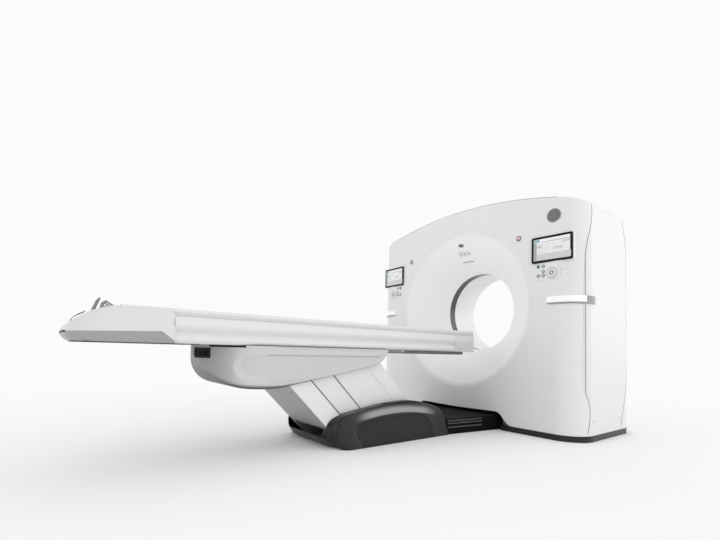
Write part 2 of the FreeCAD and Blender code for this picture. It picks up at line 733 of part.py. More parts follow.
# first panel: both sides and the face towards the foot end
ends = strip(FOOT, -EDGE, SEAM1 - P_A)
a1, a2 = pair(ends, HALF_LEG, PLATE)
face_pts = [leg_point(FOOT, 24, -EDGE), leg_point(FOOT, L + 88, -EDGE),
            leg_point(FOOT, L + 88, -EDGE + PLATE), leg_point(FOOT, 24, -EDGE + PLATE)]
foot_face = face_yz(face_pts, -HALF_LEG).extrude(Vec(2 * HALF_LEG, 0, 0))
block = face_yz([leg_point(FOOT, -35, -EDGE), leg_point(FOOT, L + 88, -EDGE),
                 leg_point(FOOT, L + 88, 300), leg_point(FOOT, -35, 300)], -400).extrude(Vec(800, 0, 0))
leg1 = a1.fuse(a2).common(block).fuse(foot_face)
leg1 = try_fillet(leg1.removeSplitter(), 3.0, lambda e: abs(e.BoundBox.XMax - e.BoundBox.XMin) < 0.01
                  and abs(abs(e.BoundBox.XMax) - HALF_LEG) < 0.01 and e.Length > 500
                  and abs(e.BoundBox.YMin + e.BoundBox.ZMax - (FOOT[0] + FOOT[1] - EDGE / math.sin(REST))) < 4)
put("leg_panel_1", leg1)
b1, b2 = pair(strip(pivot_at(P_B), SEAM1 - 38 - P_B, SEAM2 - P_B), HALF_LEG - STEP, PLATE)
put("leg_panel_2", Part.makeCompound([b1, b2]))
c1, c2 = pair(strip(pivot_at(P_C), SEAM2 - 73 - P_C, SEAM3 - P_C), HALF_LEG - 2 * STEP, PLATE)
put("leg_panel_3", Part.makeCompound([c1, c2]))
HP = pivot_at(P_D)
d1, d2_ = pair(strip(HP, SEAM3 - 72 - P_D, EDGE), HALF_LEG - 3 * STEP, PLATE)
hw = HALF_LEG - 3 * STEP
head_face = face_yz([leg_point(HP, -35, EDGE), leg_point(HP, L - 24, EDGE),
                     leg_point(HP, L - 24, EDGE - PLATE), leg_point(HP, -35, EDGE - PLATE)],
                    -hw).extrude(Vec(2 * hw, 0, 0))
block = face_yz([leg_point(HP, -35, EDGE), leg_point(HP, L + 66, EDGE),
                 leg_point(HP, L + 66, -300), leg_point(HP, -35, -300)], -400).extrude(Vec(800, 0, 0))
put("leg_panel_4", d1.fuse(d2_).common(block).fuse(head_face))


def link(label, pivot, near, inner_edge):
    """A welded link: two plates that back the panel's face, and a shaft at each end."""
    q0, q1 = (inner_edge, 26.0) if near < 0 else (-26.0, inner_edge)
    shape = None
    li, lo = num(S.link_in), num(S.link_out)
    pts = [leg_point(pivot, -30, q0), leg_point(pivot, L + 30, q0),
           leg_point(pivot, L + 30, q1), leg_point(pivot, -30, q1)]
    plate = face_yz(pts, li).extrude(Vec(lo - li, 0, 0))
    shape = plate.fuse(mirrored(plate))
    for a in (0.0, L):
        y, z = leg_point(pivot, a, 0.0)
        reach = num(S.cheek_out)
        shape = shape.fuse(Part.makeCylinder(num(S.shaft_radius), 2 * reach, Vec(-reach, y, z), Vec(1, 0, 0)))
        shape = shape.fuse(Part.makeCylinder(24, 2 * li, Vec(-li, y, z), Vec(1, 0, 0)).cut(
            Part.makeCylinder(num(S.shaft_radius), 2 * li, Vec(-li, y, z), Vec(1, 0, 0))))
    return put(label, shape)


link("link_foot", FOOT, -1, -EDGE + PLATE)
link("link_head", HP, 1, EDGE - PLATE)

# Table frame on the floor: plate, two cheeks with the lower bores
cheeks = []
R_RUN = num(S.shaft_radius) + num(S.shaft_gap)
R_OPEN = num(S.shaft_radius) + num(S.open_gap)
ci, co = num(S.cheek_in), num(S.cheek_out)
low_pts = [(-1490, 12), (-1562, 72), (-1587, 100), (-1587, 138), (-1572, 160), (-1540, 172), (-840, 172),
           (-790, 160), (-762, 150), (-748, 130), (-735, 90), (-700, 12)]
cheek = face_yz([(float(a), float(b)) for a, b in low_pts], ci).extrude(Vec(co - ci, 0, 0))
plate = solid_box(-240, 240, -1490, -580, 0, 12)
ribs = solid_box(-ci, ci, -1180, -1165, 12, 34)
table_frame = plate.fuse(cheek).fuse(mirrored(cheek)).fuse(ribs)
for piv in (FOOT, HP):
    table_frame = table_frame.cut(Part.makeCylinder(R_RUN, 800, Vec(-400, piv[0], piv[1]), Vec(1, 0, 0)))
for x in (-150.0, 150.0):
    for y in (-1400.0, -640.0):
        table_frame = table_frame.cut(Part.makeCylinder(7, 60, Vec(x, y, -10), Vec(0, 0, 1)))
put("table_frame", table_frame)

# Lift gear motor beside the foot link's lower shaft, on the plate
lift = solid_box(-60, 60, -1440, -1260, 12.0, 66.0)
lift = lift.makeFillet(10, [e for e in lift.Edges if abs(e.Length - 180) < 0.1 and e.BoundBox.ZMin > 60])
lift = lift.fuse(Part.makeCylinder(24, 70, Vec(0, -1260, 39), Vec(0, 1, 0)))
put("lift_motor", lift)

# Saddle frame: two cheeks with the upper bores, a deck under the beam
up_f = leg_point(FOOT, L, 0)
up_h = leg_point(HP, L, 0)
hi_pts = [(-2036, 640), (-1993, 548), (-1990, 528), (-1979, 517), (-1965, 514), (-1900, 500), (-1500, 528),
          (-1230, 515), (-1185, 513), (-1166, 521), (-1158, 540), (-1158, 640)]
cheek = face_yz([(float(a), float(b)) for a, b in hi_pts], ci).extrude(Vec(co - ci, 0, 0))
deck = solid_box(-co, co, -2080, -1128, 640, 652)
saddle_frame = deck.fuse(cheek).fuse(mirrored(cheek))
saddle_frame = saddle_frame.cut(Part.makeCylinder(R_RUN, 800, Vec(-400, up_f[0], up_f[1]), Vec(1, 0, 0)))
saddle_frame = saddle_frame.cut(Part.makeCylinder(R_OPEN, 800, Vec(-400, up_h[0], up_h[1]), Vec(1, 0, 0)))
put("saddle_frame", saddle_frame)

# Saddle shell: the boat-shaped cover under the beam
SH, CW = num(S.side_half), num(S.cover_wall)
BL = num(S.beam_low)


def saddle_body(off, top):
    """The saddle's outside moved in by off."""
    x = -500.0
    # the keel starts ahead of the bow's plan, so that the two cross, not graze
    keel = [(-2409 + off, 637), (-2398 + off, 596), (-2378 + off, 549), (-2352 + off, 505),
            (-2318 + off, 468), (-2268 + off * 0.8, 434 + off * 0.6), (-2200 + off * 0.4, 411 + off),
            (-2123, 402 + off), (-2040, 399 + off), (-1955, 402 + off)]
    tail = [(-1955, 402 + off), (-1800, 437 + off), (-1604, 474 + off), (-1400, 512 + off),
            (-1240, 545 + off), (-1175, 570 + off), (-1140, 604 + off), (-1119 - off, 648)]
    p0 = (x, -2412 + off, top)
    edges = [line(p0, (x, keel[0][0], keel[0][1])), spline([(x, a, b) for a, b in keel]),
             spline([(x, a, b) for a, b in tail]),
             line((x, tail[-1][0], tail[-1][1]), (x, -1119 - off, top)),
             line((x, -1119 - off, top), p0)]
    side = Part.Face(wire_of(edges)).extrude(Vec(1000, 0, 0))
    w = SH - off
    n = [(-1000.0, w), (-2085.0, w), (-2160.0, w - 7), (-2240.0, w - 36), (-2310.0, w - 88),
         (-2362.0 + off * 0.5, w - 152), (-2388.0 + off, w - 220)]
    tip = (-2399.0 + off, 0.0)
    right = [(b, a) for a, b in n]
    left = [(-b, a) for a, b in n]
    curve = spline([(b, a, 300.0) for b, a in right[1:]] + [(0.0, tip[0], 300.0)] +
                   [(b, a, 300.0) for b, a in reversed(left[1:])])
    edges = [line((w, -1000, 300), (w, -2085, 300)), curve, line((-w, -2085, 300), (-w, -1000, 300)),
             line((-w, -1000, 300), (w, -1000, 300))]
    plan = Part.Face(wire_of(edges)).extrude(Vec(0, 0, 500))
    return side.common(plan)


def low_edge(e):
    """The saddle's lower edge round the bow."""
    b = e.BoundBox
    return b.YMax < -1130 and b.YMax - b.YMin > 250 and 380 < b.ZMin and b.ZMax < 648


outer = try_fillet(saddle_body(0.0, BL), 42.0, low_edge)
# the hollow is rounded along the same edge, which keeps the wall's thickness there
inner = try_fillet(saddle_body(CW, BL + 50), 42.0 - CW, low_edge)
shell = outer.cut(inner)
shell = shell.cut(solid_box(-257, 257, -1955, -1000, 300, 700))
put("saddle_shell", shell)

# ---------------------------------------------------------------- beam, caps, cradle
DECK, BHEAD, BFOOT = num(S.beam_deck), num(S.beam_head), num(S.beam_foot)


def side_curve(y, grow=0.0):
    """The beam's right side from the deck edge down to the bottom, as edges."""
    bulge = [(236, DECK), (252, 791), (268, 784), (282, 769), (288, 751), (284, 735), (274, 721), (266, 712)]
    low = [(266, 712), (262, 706), (265, 699), (272, 693), (276, 683), (274, 668), (266, 657), (254, BL)]
    out = [spline([(a + grow, y, b) for a, b in bulge]), spline([(a + grow, y, b) for a, b in low])]
    return out


def both(edges):
    return edges + [mirrored(e) for e in edges]


def smooth_curve(y):
    """The caps' right side, which has no grooves."""
    return [spline([(236, y, DECK), (254, y, 790), (272, y, 780), (284, y, 764), (288, y, 748), (285, y, 728),
                    (276, y, 704), (266, y, 680), (254, y, BL)])]


def beam_face(y, recess=True, smooth=False):
    edges = both(smooth_curve(y) if smooth else side_curve(y))
    edges.append(line((-254, y, BL), (254, y, BL)))
    if recess:
        for s in (1, -1):
            edges.append(line((s * 236, y, DECK), (s * 203, y, DECK)))
            edges.append(line((s * 203, y, DECK), (s * 203, y, DECK - 12)))
        edges.append(line((-203, y, DECK - 12), (203, y, DECK - 12)))
    else:
        edges.append(line((-236, y, DECK), (236, y, DECK)))
    return Part.Face(wire_of(edges))


beam = beam_face(BFOOT).extrude(Vec(0, BHEAD - BFOOT, 0))
beam = beam.cut(solid_box(-248, 248, BFOOT + 8, BHEAD - 8, 662, 771))
put("beam", beam)

def end_plan(off):
    """The head end's plan, moved in by off: a straight end between two large corner rounds."""
    w, e, r = 289.0 - off, -12.0 - off, 190.0 - off
    d = r * (1 - math.sqrt(0.5))
    return Part.Face(wire_of([
        line((-w, -3000, 600), (w, -3000, 600)), line((w, -3000, 600), (w, e - r, 600)),
        arc3((w, e - r, 600), (w - d, e - d, 600), (w - r, e, 600)), line((w - r, e, 600), (-w + r, e, 600)),
        arc3((-w + r, e, 600), (-w + d, e - d, 600), (-w, e - r, 600)), line((-w, e - r, 600), (-w, -3000, 600)),
    ])).extrude(Vec(0, 0, 400))


head_cap = beam_face(BHEAD, smooth=True).extrude(Vec(0, -12 - BHEAD, 0)).common(end_plan(0.0))
head_cap = head_cap.cut(solid_box(-244, 244, BHEAD - 5, -230, 664, 770))
# the cap's lower edge is cut back
head_cap = head_cap.cut(face_yz([(-12.0, 690.0), (-40.0, 640.0), (20.0, 640.0), (20.0, 690.0)], -400).extrude(Vec(800, 0, 0)))
put("head_cap", head_cap)

# foot cap: the smooth nose of the beam
x = -400.0
nose = [(-3021, 709), (-3014, 720), (-2989, 744), (-2950, 775), (-2906, 801), (-2865, 818), (-2815, 832), (-2760, 836)]
side = Part.Face(wire_of([
    spline([(x, a, b) for a, b in nose]), line((x, -2760, 836), (x, BFOOT, 836)),
    line((x, BFOOT, 836), (x, BFOOT, BL)), line((x, BFOOT, BL), (x, -2980, BL)),
    spline([(x, -2980, BL), (x, -3000, 664), (x, -3016, 690), (x, -3021, 709)]),
])).extrude(Vec(800, 0, 0))
plan = Part.Face(wire_of([
    line((-290, BFOOT, 600), (290, BFOOT, 600)), line((290, BFOOT, 600), (290, -2850, 600)),
    spline([(290, -2850, 600), (284, -2920, 600), (262, -2975, 600), (215, -3008, 600), (120, -3020, 600),
            (0, -3021.5, 600), (-120, -3020, 600), (-215, -3008, 600), (-262, -2975, 600),
            (-284, -2920, 600), (-290, -2850, 600)]),
    line((-290, -2850, 600), (-290, BFOOT, 600)),
])).extrude(Vec(0, 0, 400))
prof = both([spline([(0, -3100, 836), (150, -3100, 836), (222, -3100, 826), (262, -3100, 800), (284, -3100, 770),
                     (288, -3100, 748), (280, -3100, 726), (266, -3100, 706), (260, -3100, 680), (250, -3100, BL)])])
prof.append(line((-250, -3100, BL), (250, -3100, BL)))
section = Part.Face(wire_of(prof)).extrude(Vec(0, 700, 0))
foot_cap = side.common(plan).common(section)
foot_cap = foot_cap.cut(solid_box(-227, 227, -2800, BFOOT + 10, DECK, 900))
foot_cap = foot_cap.cut(solid_box(-203, 203, -2800, BFOOT + 10, DECK - 12, 900))
foot_cap = foot_cap.cut(solid_box(-225, 225, -2860, BFOOT - 10, 668, 765))
# slot in the tip and the seat of the release handle
foot_cap = foot_cap.cut(solid_box(-60, 60, -3040, -3010, 699, 707))
foot_cap = foot_cap.cut(solid_box(-78, 78, -2912, -2884, 787, 900))
foot_cap = foot_cap.cut(Part.makeCylinder(5.55, 172, Vec(-86, -2897, 795), Vec(1, 0, 0)))
put("foot_cap", foot_cap)

# cradle: shallow trough that slides on the deck
yc0, yc1 = num(S.cradle_foot), num(S.cradle_head)
CT, CH = num(S.cradle_top), num(S.cradle_half)
trough = arc3((-206, yc0, CT), (0, yc0, CT - 34), (206, yc0, CT))
edges = [trough]
for s in (1, -1):
    edges.append(spline([(s * 206, yc0, CT), (s * 215, yc0, CT - 2), (s * 221, yc0, CT - 9), (s * CH, yc0, CT - 20)]))
    edges.append(line((s * CH, yc0, CT - 20), (s * 214, yc0, DECK + 1.2)))
    edges.append(line((s * 214, yc0, DECK + 1.2), (s * 201, yc0, DECK + 1.2)))
    edges.append(line((s * 201, yc0, DECK + 1.2), (s * 201, yc0, DECK - 11.6)))
edges.append(line((-201, yc0, DECK - 11.6), (201, yc0, DECK - 11.6)))
cradle = Part.Face(wire_of(edges)).extrude(Vec(0, yc1 - yc0, 0)).common(end_plan(0.3))
put("cradle", cradle)

# dark tray under the head half of the beam
tray = solid_box(-195, 195, -910, -170, 626, BL)
tray = tray.makeFillet(14, [e for e in tray.Edges if abs(e.Length - 740) < 0.1 and e.BoundBox.ZMax < 630])
put("under_tray", tray)

# release handle: a slim loop that hinges on the foot cap
hy0, hz0, hy1, hz1 = -2897.0, 795.0, -2870.0, 868.0
hd = Vec(0, hy1 - hy0, hz1 - hz0)
loop = None
for s in (-1, 1):
    leg = Part.makeCylinder(5, hd.Length, Vec(s * 62, hy0, hz0), hd)
    loop = leg if loop is None else loop.fuse(leg)
    loop = loop.fuse(Part.makeSphere(5, Vec(s * 62, hy1, hz1)))
loop = loop.fuse(Part.makeCylinder(5, 124, Vec(-62, hy1, hz1), Vec(1, 0, 0)))
loop = loop.fuse(Part.makeCylinder(5.5, 168, Vec(-84, hy0, hz0), Vec(1, 0, 0)))
put("release_handle", loop)

# ---------------------------------------------------------------- floor parts
def base_body(off, low):
    """The base cover's outside moved in by off, its sides leaning in. The smooth outline goes on
    below the floor, so that the rounds along it run out there."""
    x = -500.0
    run = [(-1500 + off, -60), (-1556 + off, 0), (-1597 + off, 32), (-1620 + off, 66), (-1629 + off, 104), (-1628 + off, 134),
           (-1612 + off * 0.8, 168 - off * 0.6), (-1580 + off * 0.5, 192 - off * 0.9), (-1532, 211 - off),
           (-1382, 239 - off), (-1201, 265 - off), (-1080, 276 - off), (-968, 280 - off), (-880, 276 - off),
           (-799, 264 - off), (-700, 240 - off), (-640 - off * 0.5, 216 - off * 0.9),
           (-594 - off * 0.9, 180 - off * 0.5), (-566 - off, 130), (-546 - off, 70), (-528 - off, 0),
           (-514 - off, -60)]
    side_ = Part.Face(wire_of([spline([(x, a, b) for a, b in run]),
                               line((x, -514 - off, -60), (x, -1500 + off, -60))])).extrude(Vec(1000, 0, 0))
    b, t = num(S.base_half) - off, num(S.base_top_half) - off
    k = (b - t) / 300.0
    sect = face_xz([(-b - 100 * k, -100.0), (b + 100 * k, -100.0), (t, 300.0), (-t, 300.0)],
                   -1800.0).extrude(Vec(0, 1500, 0))
    body = try_fillet(side_.common(sect), 30.0 - off, rim_edge)
    return body.common(solid_box(-600, 600, -2000, 0, low, 400))


def rim_edge(e):
    """The base cover's two long side edges."""
    b = e.BoundBox
    return b.YMax - b.YMin > 900 and b.ZMax > 200 and b.XMax * b.XMin > 0


outer = base_body(0.0, 0.0)
base = outer.cut(base_body(CW, -20.0))
base = base.cut(solid_box(-256, 256, -1700, -785, 70, 400))
put("base_cover", base)


def tray_body(off, z0):
    a, b, t = num(S.tray_front_half) - off, num(S.tray_back_half) - off, num(S.tray_high) - off
    plan_ = face_xy([(-a, -575.0), (a, -575.0), (b, 60.0), (-b, 60.0)], z0).extrude(Vec(0, 0, 400))
    sect = face_xz([(-b - 200, z0), (b + 200, z0), (b + 200, t - 30), (b + 10, t - 24), (b - 20, t),
                    (-b + 20, t), (-b - 10, t - 24), (-b - 200, t - 30)], -700.0).extrude(Vec(0, 900, 0))
    return plan_.common(sect)


cover = tray_body(0.0, 0.0).cut(tray_body(4.0, -10.0))
for y in (-330.0, -160.0):
    cover = cover.cut(solid_box(-300, 300, y - 2, y + 2, 114, 130))
front_cut = outer.copy()
cover = cover.cut(front_cut)
put("floor_tray", cover)

# ---------------------------------------------------------------- checks and files
doc.recompute()
bad = [o.Name for o in doc.Objects if "Invalid" in o.State or "Error" in o.State]
assert not bad, bad
seen = set()
for o in NODES:
    s = o.Shape
    assert not s.isNull() and s.isValid(), o.Label
    assert o.Label not in seen, o.Label
    seen.add(o.Label)
os.makedirs("parts", exist_ok=True)
for o in NODES:
    o.Shape.exportStep("parts/%s.step" % o.Label)
    b = o.Shape.BoundBox
    print("%-22s solids %d vol %.5f m3  x %.1f %.1f  y %.1f %.1f  z %.1f %.1f" % (
        o.Label, len(o.Shape.Solids), o.Shape.Volume / 1e9, b.XMin, b.XMax, b.YMin, b.YMax, b.ZMin, b.ZMax))
print(len(NODES), "nodes")
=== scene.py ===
import math

import bmesh
import bpy
from mathutils import Matrix, Vector
from mathutils.bvhtree import BVHTree


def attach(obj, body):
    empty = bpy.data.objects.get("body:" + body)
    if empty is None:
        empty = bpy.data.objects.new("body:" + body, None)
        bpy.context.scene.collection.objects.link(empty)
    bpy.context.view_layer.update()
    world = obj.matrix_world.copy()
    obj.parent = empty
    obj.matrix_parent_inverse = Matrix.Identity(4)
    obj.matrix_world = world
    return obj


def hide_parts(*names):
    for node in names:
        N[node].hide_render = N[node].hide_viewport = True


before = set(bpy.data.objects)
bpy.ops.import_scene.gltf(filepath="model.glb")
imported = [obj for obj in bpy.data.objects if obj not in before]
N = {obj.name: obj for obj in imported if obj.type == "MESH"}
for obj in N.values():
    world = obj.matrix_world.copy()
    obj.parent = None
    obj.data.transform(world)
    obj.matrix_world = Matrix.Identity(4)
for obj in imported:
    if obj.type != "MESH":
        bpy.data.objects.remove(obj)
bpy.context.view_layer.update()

scene = bpy.context.scene

# Metres. The bore's axis is at AZ above the floor; FRONT is the gantry's flat front face.
AZ = 1.057
FRONT = -0.380


# ---------------------------------------------------------------- materials
class Mat:
    """A principled material with the node helpers that the finishes below share."""

    def __init__(self, name):
        self.m = bpy.data.materials.new(name)
        self.m.use_nodes = True
        self.nt = self.m.node_tree
        self.nt.nodes.clear()
        out = self.nt.nodes.new("ShaderNodeOutputMaterial")
        self.b = self.nt.nodes.new("ShaderNodeBsdfPrincipled")
        self.nt.links.new(self.b.outputs[0], out.inputs[0])
        self.tc = self.nt.nodes.new("ShaderNodeTexCoord")
        self.co = self.tc.outputs["Object"]

    def node(self, kind, **inputs):
        n = self.nt.nodes.new(kind)
        for k, v in inputs.items():
            k = k.replace("_", " ")
            if isinstance(v, bpy.types.NodeSocket):
                self.nt.links.new(v, n.inputs[k])
            else:
                n.inputs[k].default_value = v
        return n

    def link(self, a, b):
        self.nt.links.new(a, b)

    def math(self, op, a, b=None, c=None, clamp=False):
        n = self.nt.nodes.new("ShaderNodeMath")
        n.operation = op
        n.use_clamp = clamp
        for i, v in enumerate((a, b, c)):
            if v is None:
                continue
            if isinstance(v, bpy.types.NodeSocket):
                self.link(v, n.inputs[i])
            else:
                n.inputs[i].default_value = v
        return n.outputs[0]

    def noise(self, scale, detail=3.0, rough=0.55, co=None):
        n = self.nt.nodes.new("ShaderNodeTexNoise")
        n.inputs["Scale"].default_value = scale
        n.inputs["Detail"].default_value = detail
        n.inputs["Roughness"].default_value = rough
        self.link(co or self.co, n.inputs["Vector"])
        return n.outputs["Fac"]

    def ramp(self, fac, stops, mode="LINEAR"):
        n = self.nt.nodes.new("ShaderNodeValToRGB")
        n.color_ramp.interpolation = mode
        el = n.color_ramp.elements
        while len(el) > 1:
            el.remove(el[-1])
        el[0].position, el[0].color = stops[0][0], tuple(stops[0][1]) + (1,)
        for p, c in stops[1:]:
            e = el.new(p)
            e.color = tuple(c) + (1,)
        self.link(fac, n.inputs[0])
        return n.outputs[0]

    def mix(self, fac, a, b):
        n = self.nt.nodes.new("ShaderNodeMix")
        n.data_type = "RGBA"
        for key, v in ((0, fac), (6, a), (7, b)):
            if isinstance(v, bpy.types.NodeSocket):
                self.link(v, n.inputs[key])
            else:
                n.inputs[key].default_value = v if key == 0 else tuple(v) + (1,)
        return n.outputs[2]

    def step(self, value, at, width):
        """0 below at, 1 above it, with a soft edge of that width."""
        n = self.nt.nodes.new("ShaderNodeMapRange")
        n.interpolation_type = "SMOOTHSTEP"
        self.link(value, n.inputs["Value"])
        n.inputs["From Min"].default_value = at - width / 2
        n.inputs["From Max"].default_value = at + width / 2
        return n.outputs["Result"]

    def xyz(self):
        n = self.nt.nodes.new("ShaderNodeSeparateXYZ")
        self.link(self.co, n.inputs[0])
        return n.outputs

    def radius(self, x, z):
        """Distance in the XZ plane from (x, z)."""
        s = self.xyz()
        dx = self.math("SUBTRACT", s[0], x)
        dz = self.math("SUBTRACT", s[2], z)
        return self.math("SQRT", self.math("ADD", self.math("MULTIPLY", dx, dx), self.math("MULTIPLY", dz, dz)))

    def surface(self, color, rough, rough_var=0.05, peel=0.25, grain=0.12, grain_scale=1600):
        """Colour, roughness that varies a little, and a bump of soft peel with a fine grain on it."""
        if isinstance(color, bpy.types.NodeSocket):
            self.link(color, self.b.inputs["Base Color"])
        else:
            self.b.inputs["Base Color"].default_value = tuple(color) + (1,)
        r = self.math("MULTIPLY_ADD", self.noise(6.0), rough_var * 2, rough - rough_var)
        r = self.math("MULTIPLY_ADD", self.noise(220.0, 2.0), rough_var, r)
        self.link(r, self.b.inputs["Roughness"])
        h = self.math("ADD", self.math("MULTIPLY", self.noise(90.0, 2.0), peel),
                      self.math("MULTIPLY", self.noise(grain_scale, 2.0), grain))
        bump = self.nt.nodes.new("ShaderNodeBump")
        bump.inputs["Strength"].default_value = 0.35
        bump.inputs["Distance"].default_value = 0.0004
        self.link(h, bump.inputs["Height"])
        self.link(bump.outputs[0], self.b.inputs["Normal"])
        return self.m

    def tinted(self, color, spread=0.03, scale=2.2, speck=0.012):
        """A colour with slow variation over the piece and a faint speckle in it."""
        dark = [c * (1 - spread) for c in color]
        base = self.mix(self.noise(scale), dark, color)
        return self.mix(self.math("MULTIPLY", self.noise(900.0, 2.0), speck * 2), base, [c * 0.8 for c in color])


def moulded(name, color, rough, **kw):
    m = Mat(name)
    return m.surface(m.tinted(color), rough, **kw)


def metal(name, color, rough, brush=None, metallic=1.0):
    """Metal, brushed along brush (a scale per axis) where that is given."""
    m = Mat(name)
    m.b.inputs["Metallic"].default_value = metallic
    co = None
    if brush:
        mp = m.nt.nodes.new("ShaderNodeMapping")
        mp.inputs["Scale"].default_value = brush
        m.link(m.co, mp.inputs["Vector"])
        co = mp.outputs[0]
    streak = m.noise(40.0, 4.0, 0.7, co)
    m.link(m.mix(streak, [c * 0.82 for c in color], color), m.b.inputs["Base Color"])
    m.link(m.math("MULTIPLY_ADD", streak, 0.16, rough - 0.08), m.b.inputs["Roughness"])
    bump = m.nt.nodes.new("ShaderNodeBump")
    bump.inputs["Strength"].default_value = 0.2
    bump.inputs["Distance"].default_value = 0.0002
    m.link(streak, bump.inputs["Height"])
    m.link(bump.outputs[0], m.b.inputs["Normal"])
    return m.m


WHITE = (0.80, 0.805, 0.81)
cover_white = moulded("cover_white_finish", (0.73, 0.735, 0.74), 0.36)
table_white = moulded("table_white_finish", (0.71, 0.715, 0.72), 0.36)
leg_white = moulded("leg_white_finish", (0.72, 0.725, 0.73), 0.42)
panel_white = moulded("panel_white_finish", (0.77, 0.775, 0.78), 0.45)
liner_white = moulded("liner_white_finish", (0.95, 0.95, 0.95), 0.40)
cap_grey = moulded("cap_grey_finish", (0.65, 0.655, 0.66), 0.42)
bracket_grey = moulded("bracket_grey_finish", (0.25, 0.255, 0.26), 0.45)
frame_paint = moulded("frame_paint_finish", (0.22, 0.235, 0.25), 0.5, peel=0.5)
dark_plastic = moulded("dark_plastic_finish", (0.0045, 0.0047, 0.005), 0.58, grain=0.4, grain_scale=900)
black_gloss = moulded("black_gloss_finish", (0.008, 0.008, 0.009), 0.16, rough_var=0.02, peel=0.02, grain=0.0)
black_matte = moulded("black_matte_finish", (0.012, 0.012, 0.013), 0.62)
window_dark = moulded("window_dark_finish", (0.060, 0.062, 0.065), 0.22, rough_var=0.02, peel=0.05, grain=0.02)
print_grey = moulded("print_grey_finish", (0.36, 0.37, 0.38), 0.5)
print_dark = moulded("print_dark_finish", (0.07, 0.075, 0.08), 0.5)
print_green = moulded("print_green_finish", (0.16, 0.34, 0.24), 0.5)
red_plastic = moulded("red_plastic_finish", (0.22, 0.018, 0.028), 0.32)
key_pale = moulded("key_pale_finish", (0.62, 0.63, 0.64), 0.4)
inset_dark = moulded("inset_dark_finish", (0.016, 0.0165, 0.0175), 0.5, grain=0.4, grain_scale=900)
sole_dark = moulded("sole_dark_finish", (0.030, 0.031, 0.033), 0.6)
belt_rubber = moulded("belt_rubber_finish", (0.02, 0.02, 0.02), 0.75, peel=0.6)
for m, level in ((dark_plastic, 0.08), (inset_dark, 0.25), (black_matte, 0.20)):
    next(n for n in m.node_tree.nodes if n.type == "BSDF_PRINCIPLED").inputs["Specular IOR Level"].default_value = level
iron = metal("iron_finish", (0.14, 0.14, 0.145), 0.6, metallic=0.7)
steel = metal("steel_finish", (0.55, 0.555, 0.56), 0.32, (1, 30, 1))
alloy = metal("alloy_finish", (0.70, 0.71, 0.72), 0.40, (12, 1, 12))
handle_metal = metal("handle_metal_finish", (0.24, 0.243, 0.247), 0.34, (30, 1, 1))
rim_metal = metal("rim_metal_finish", (0.52, 0.525, 0.53), 0.28)


# Mixes two tones by a mask; the foot cap uses it to paint shade on its lower facet.
def painted_shade_blend(name, low, high, mask):
    m = Mat(name)
    return m.surface(m.mix(mask(m), m.tinted(low), m.tinted(high)), 0.38)


def cap_shade_mask(m):
    """1 on the cap's upper shell, 0 on its lower facet, which is painted darker as shade; the facet's upper edge turns
    down at its far end.
    """
    q = m.xyz()
    rise = m.math("MULTIPLY_ADD", m.math("ADD", q[1], 3.380), -0.0398, q[2])
    turn = m.math("MAXIMUM", m.math("ADD", q[1], 3.003), 0.0)
    return m.step(m.math("MULTIPLY_ADD", turn, 0.80, rise), 0.6955, 0.0025)


def front_finish():
    """The front moulding: its funnel is painted paler than the flat face, as painted light for the brighter light the
    funnel catches.
    """
    m = Mat("front_cover_finish")
    # painted light: inside radius 0.706 the funnel gets the paler colour
    inside = m.math("SUBTRACT", 1.0, m.step(m.radius(0.0, AZ), 0.706, 0.060))
    return m.surface(m.mix(inside, m.tinted((0.765, 0.767, 0.77)), m.tinted((0.96, 0.96, 0.96), spread=0.01)), 0.36)


def saddle_shade_finish():
    """White shell with painted shade: grey on faces that turn towards the foot end, near black on faces that turn
    under.
    """
    m = Mat("saddle_shade_finish")
    n = m.nt.nodes.new("ShaderNodeSeparateXYZ")
    m.link(m.tc.outputs["Normal"], n.inputs[0])
    # painted shade: faces turned to the foot end go grey, faces turned down go near black
    away = m.step(m.math("MULTIPLY", n.outputs[1], -1.0), 0.50, 0.62)
    under_shade = m.step(m.math("MULTIPLY", n.outputs[2], -1.0), 0.55, 0.60)
    end = m.mix(away, m.tinted((0.545, 0.55, 0.555)), m.tinted((0.32, 0.325, 0.33)))
    return m.surface(m.mix(under_shade, end, m.tinted((0.075, 0.077, 0.080))), 0.40)


def base_finish():
    """Black gloss, with a painted highlight: the shoulder over the side insets is painted paler."""
    m = Mat("base_gloss_finish")
    s = m.xyz()
    away = m.math("ADD", s[1], 1.45)
    line = m.math("MULTIPLY_ADD", m.math("MULTIPLY", away, away), -0.29, 0.205)
    over = m.math("SUBTRACT", s[2], line)
    band = m.math("MULTIPLY", m.step(over, 0.002, 0.012), m.math("SUBTRACT", 1.0, m.step(over, 0.046, 0.036)))
    side = m.step(m.math("ABSOLUTE", s[0]), 0.325, 0.030)
    reach = m.math("MULTIPLY", m.step(s[1], -1.76, 0.16), m.math("SUBTRACT", 1.0, m.step(s[1], -1.12, 0.16)))
    # painted highlight: a paler colour on the shoulder band
    shoulder_highlight = m.math("MULTIPLY", m.math("MULTIPLY", band, side), reach)
    m.surface(m.mix(shoulder_highlight, m.tinted((0.013, 0.0133, 0.0138)), m.tinted((0.27, 0.273, 0.277))), 0.28, rough_var=0.04, peel=0.12, grain=0.1)
    m.b.inputs["Specular IOR Level"].default_value = 0.38
    return m.m


base_gloss = base_finish()


def leg_shade_finish(name, pivot, side):
    """A leg panel whose broad face, across the leg, is painted grey as shade and whose cheeks are white."""
    m = Mat(name)
    s = m.xyz()
    y = m.math("SUBTRACT", s[1], pivot[0])
    z = m.math("SUBTRACT", s[2], pivot[1])
    across = m.math("MULTIPLY", m.math("ADD", y, z), side * math.sqrt(0.5))
    # painted shade: the broad face goes grey
    face = m.step(across, 0.0312, 0.0008)
    return m.surface(m.mix(face, m.tinted((0.73, 0.735, 0.74)), m.tinted((0.37, 0.375, 0.38))), 0.42)


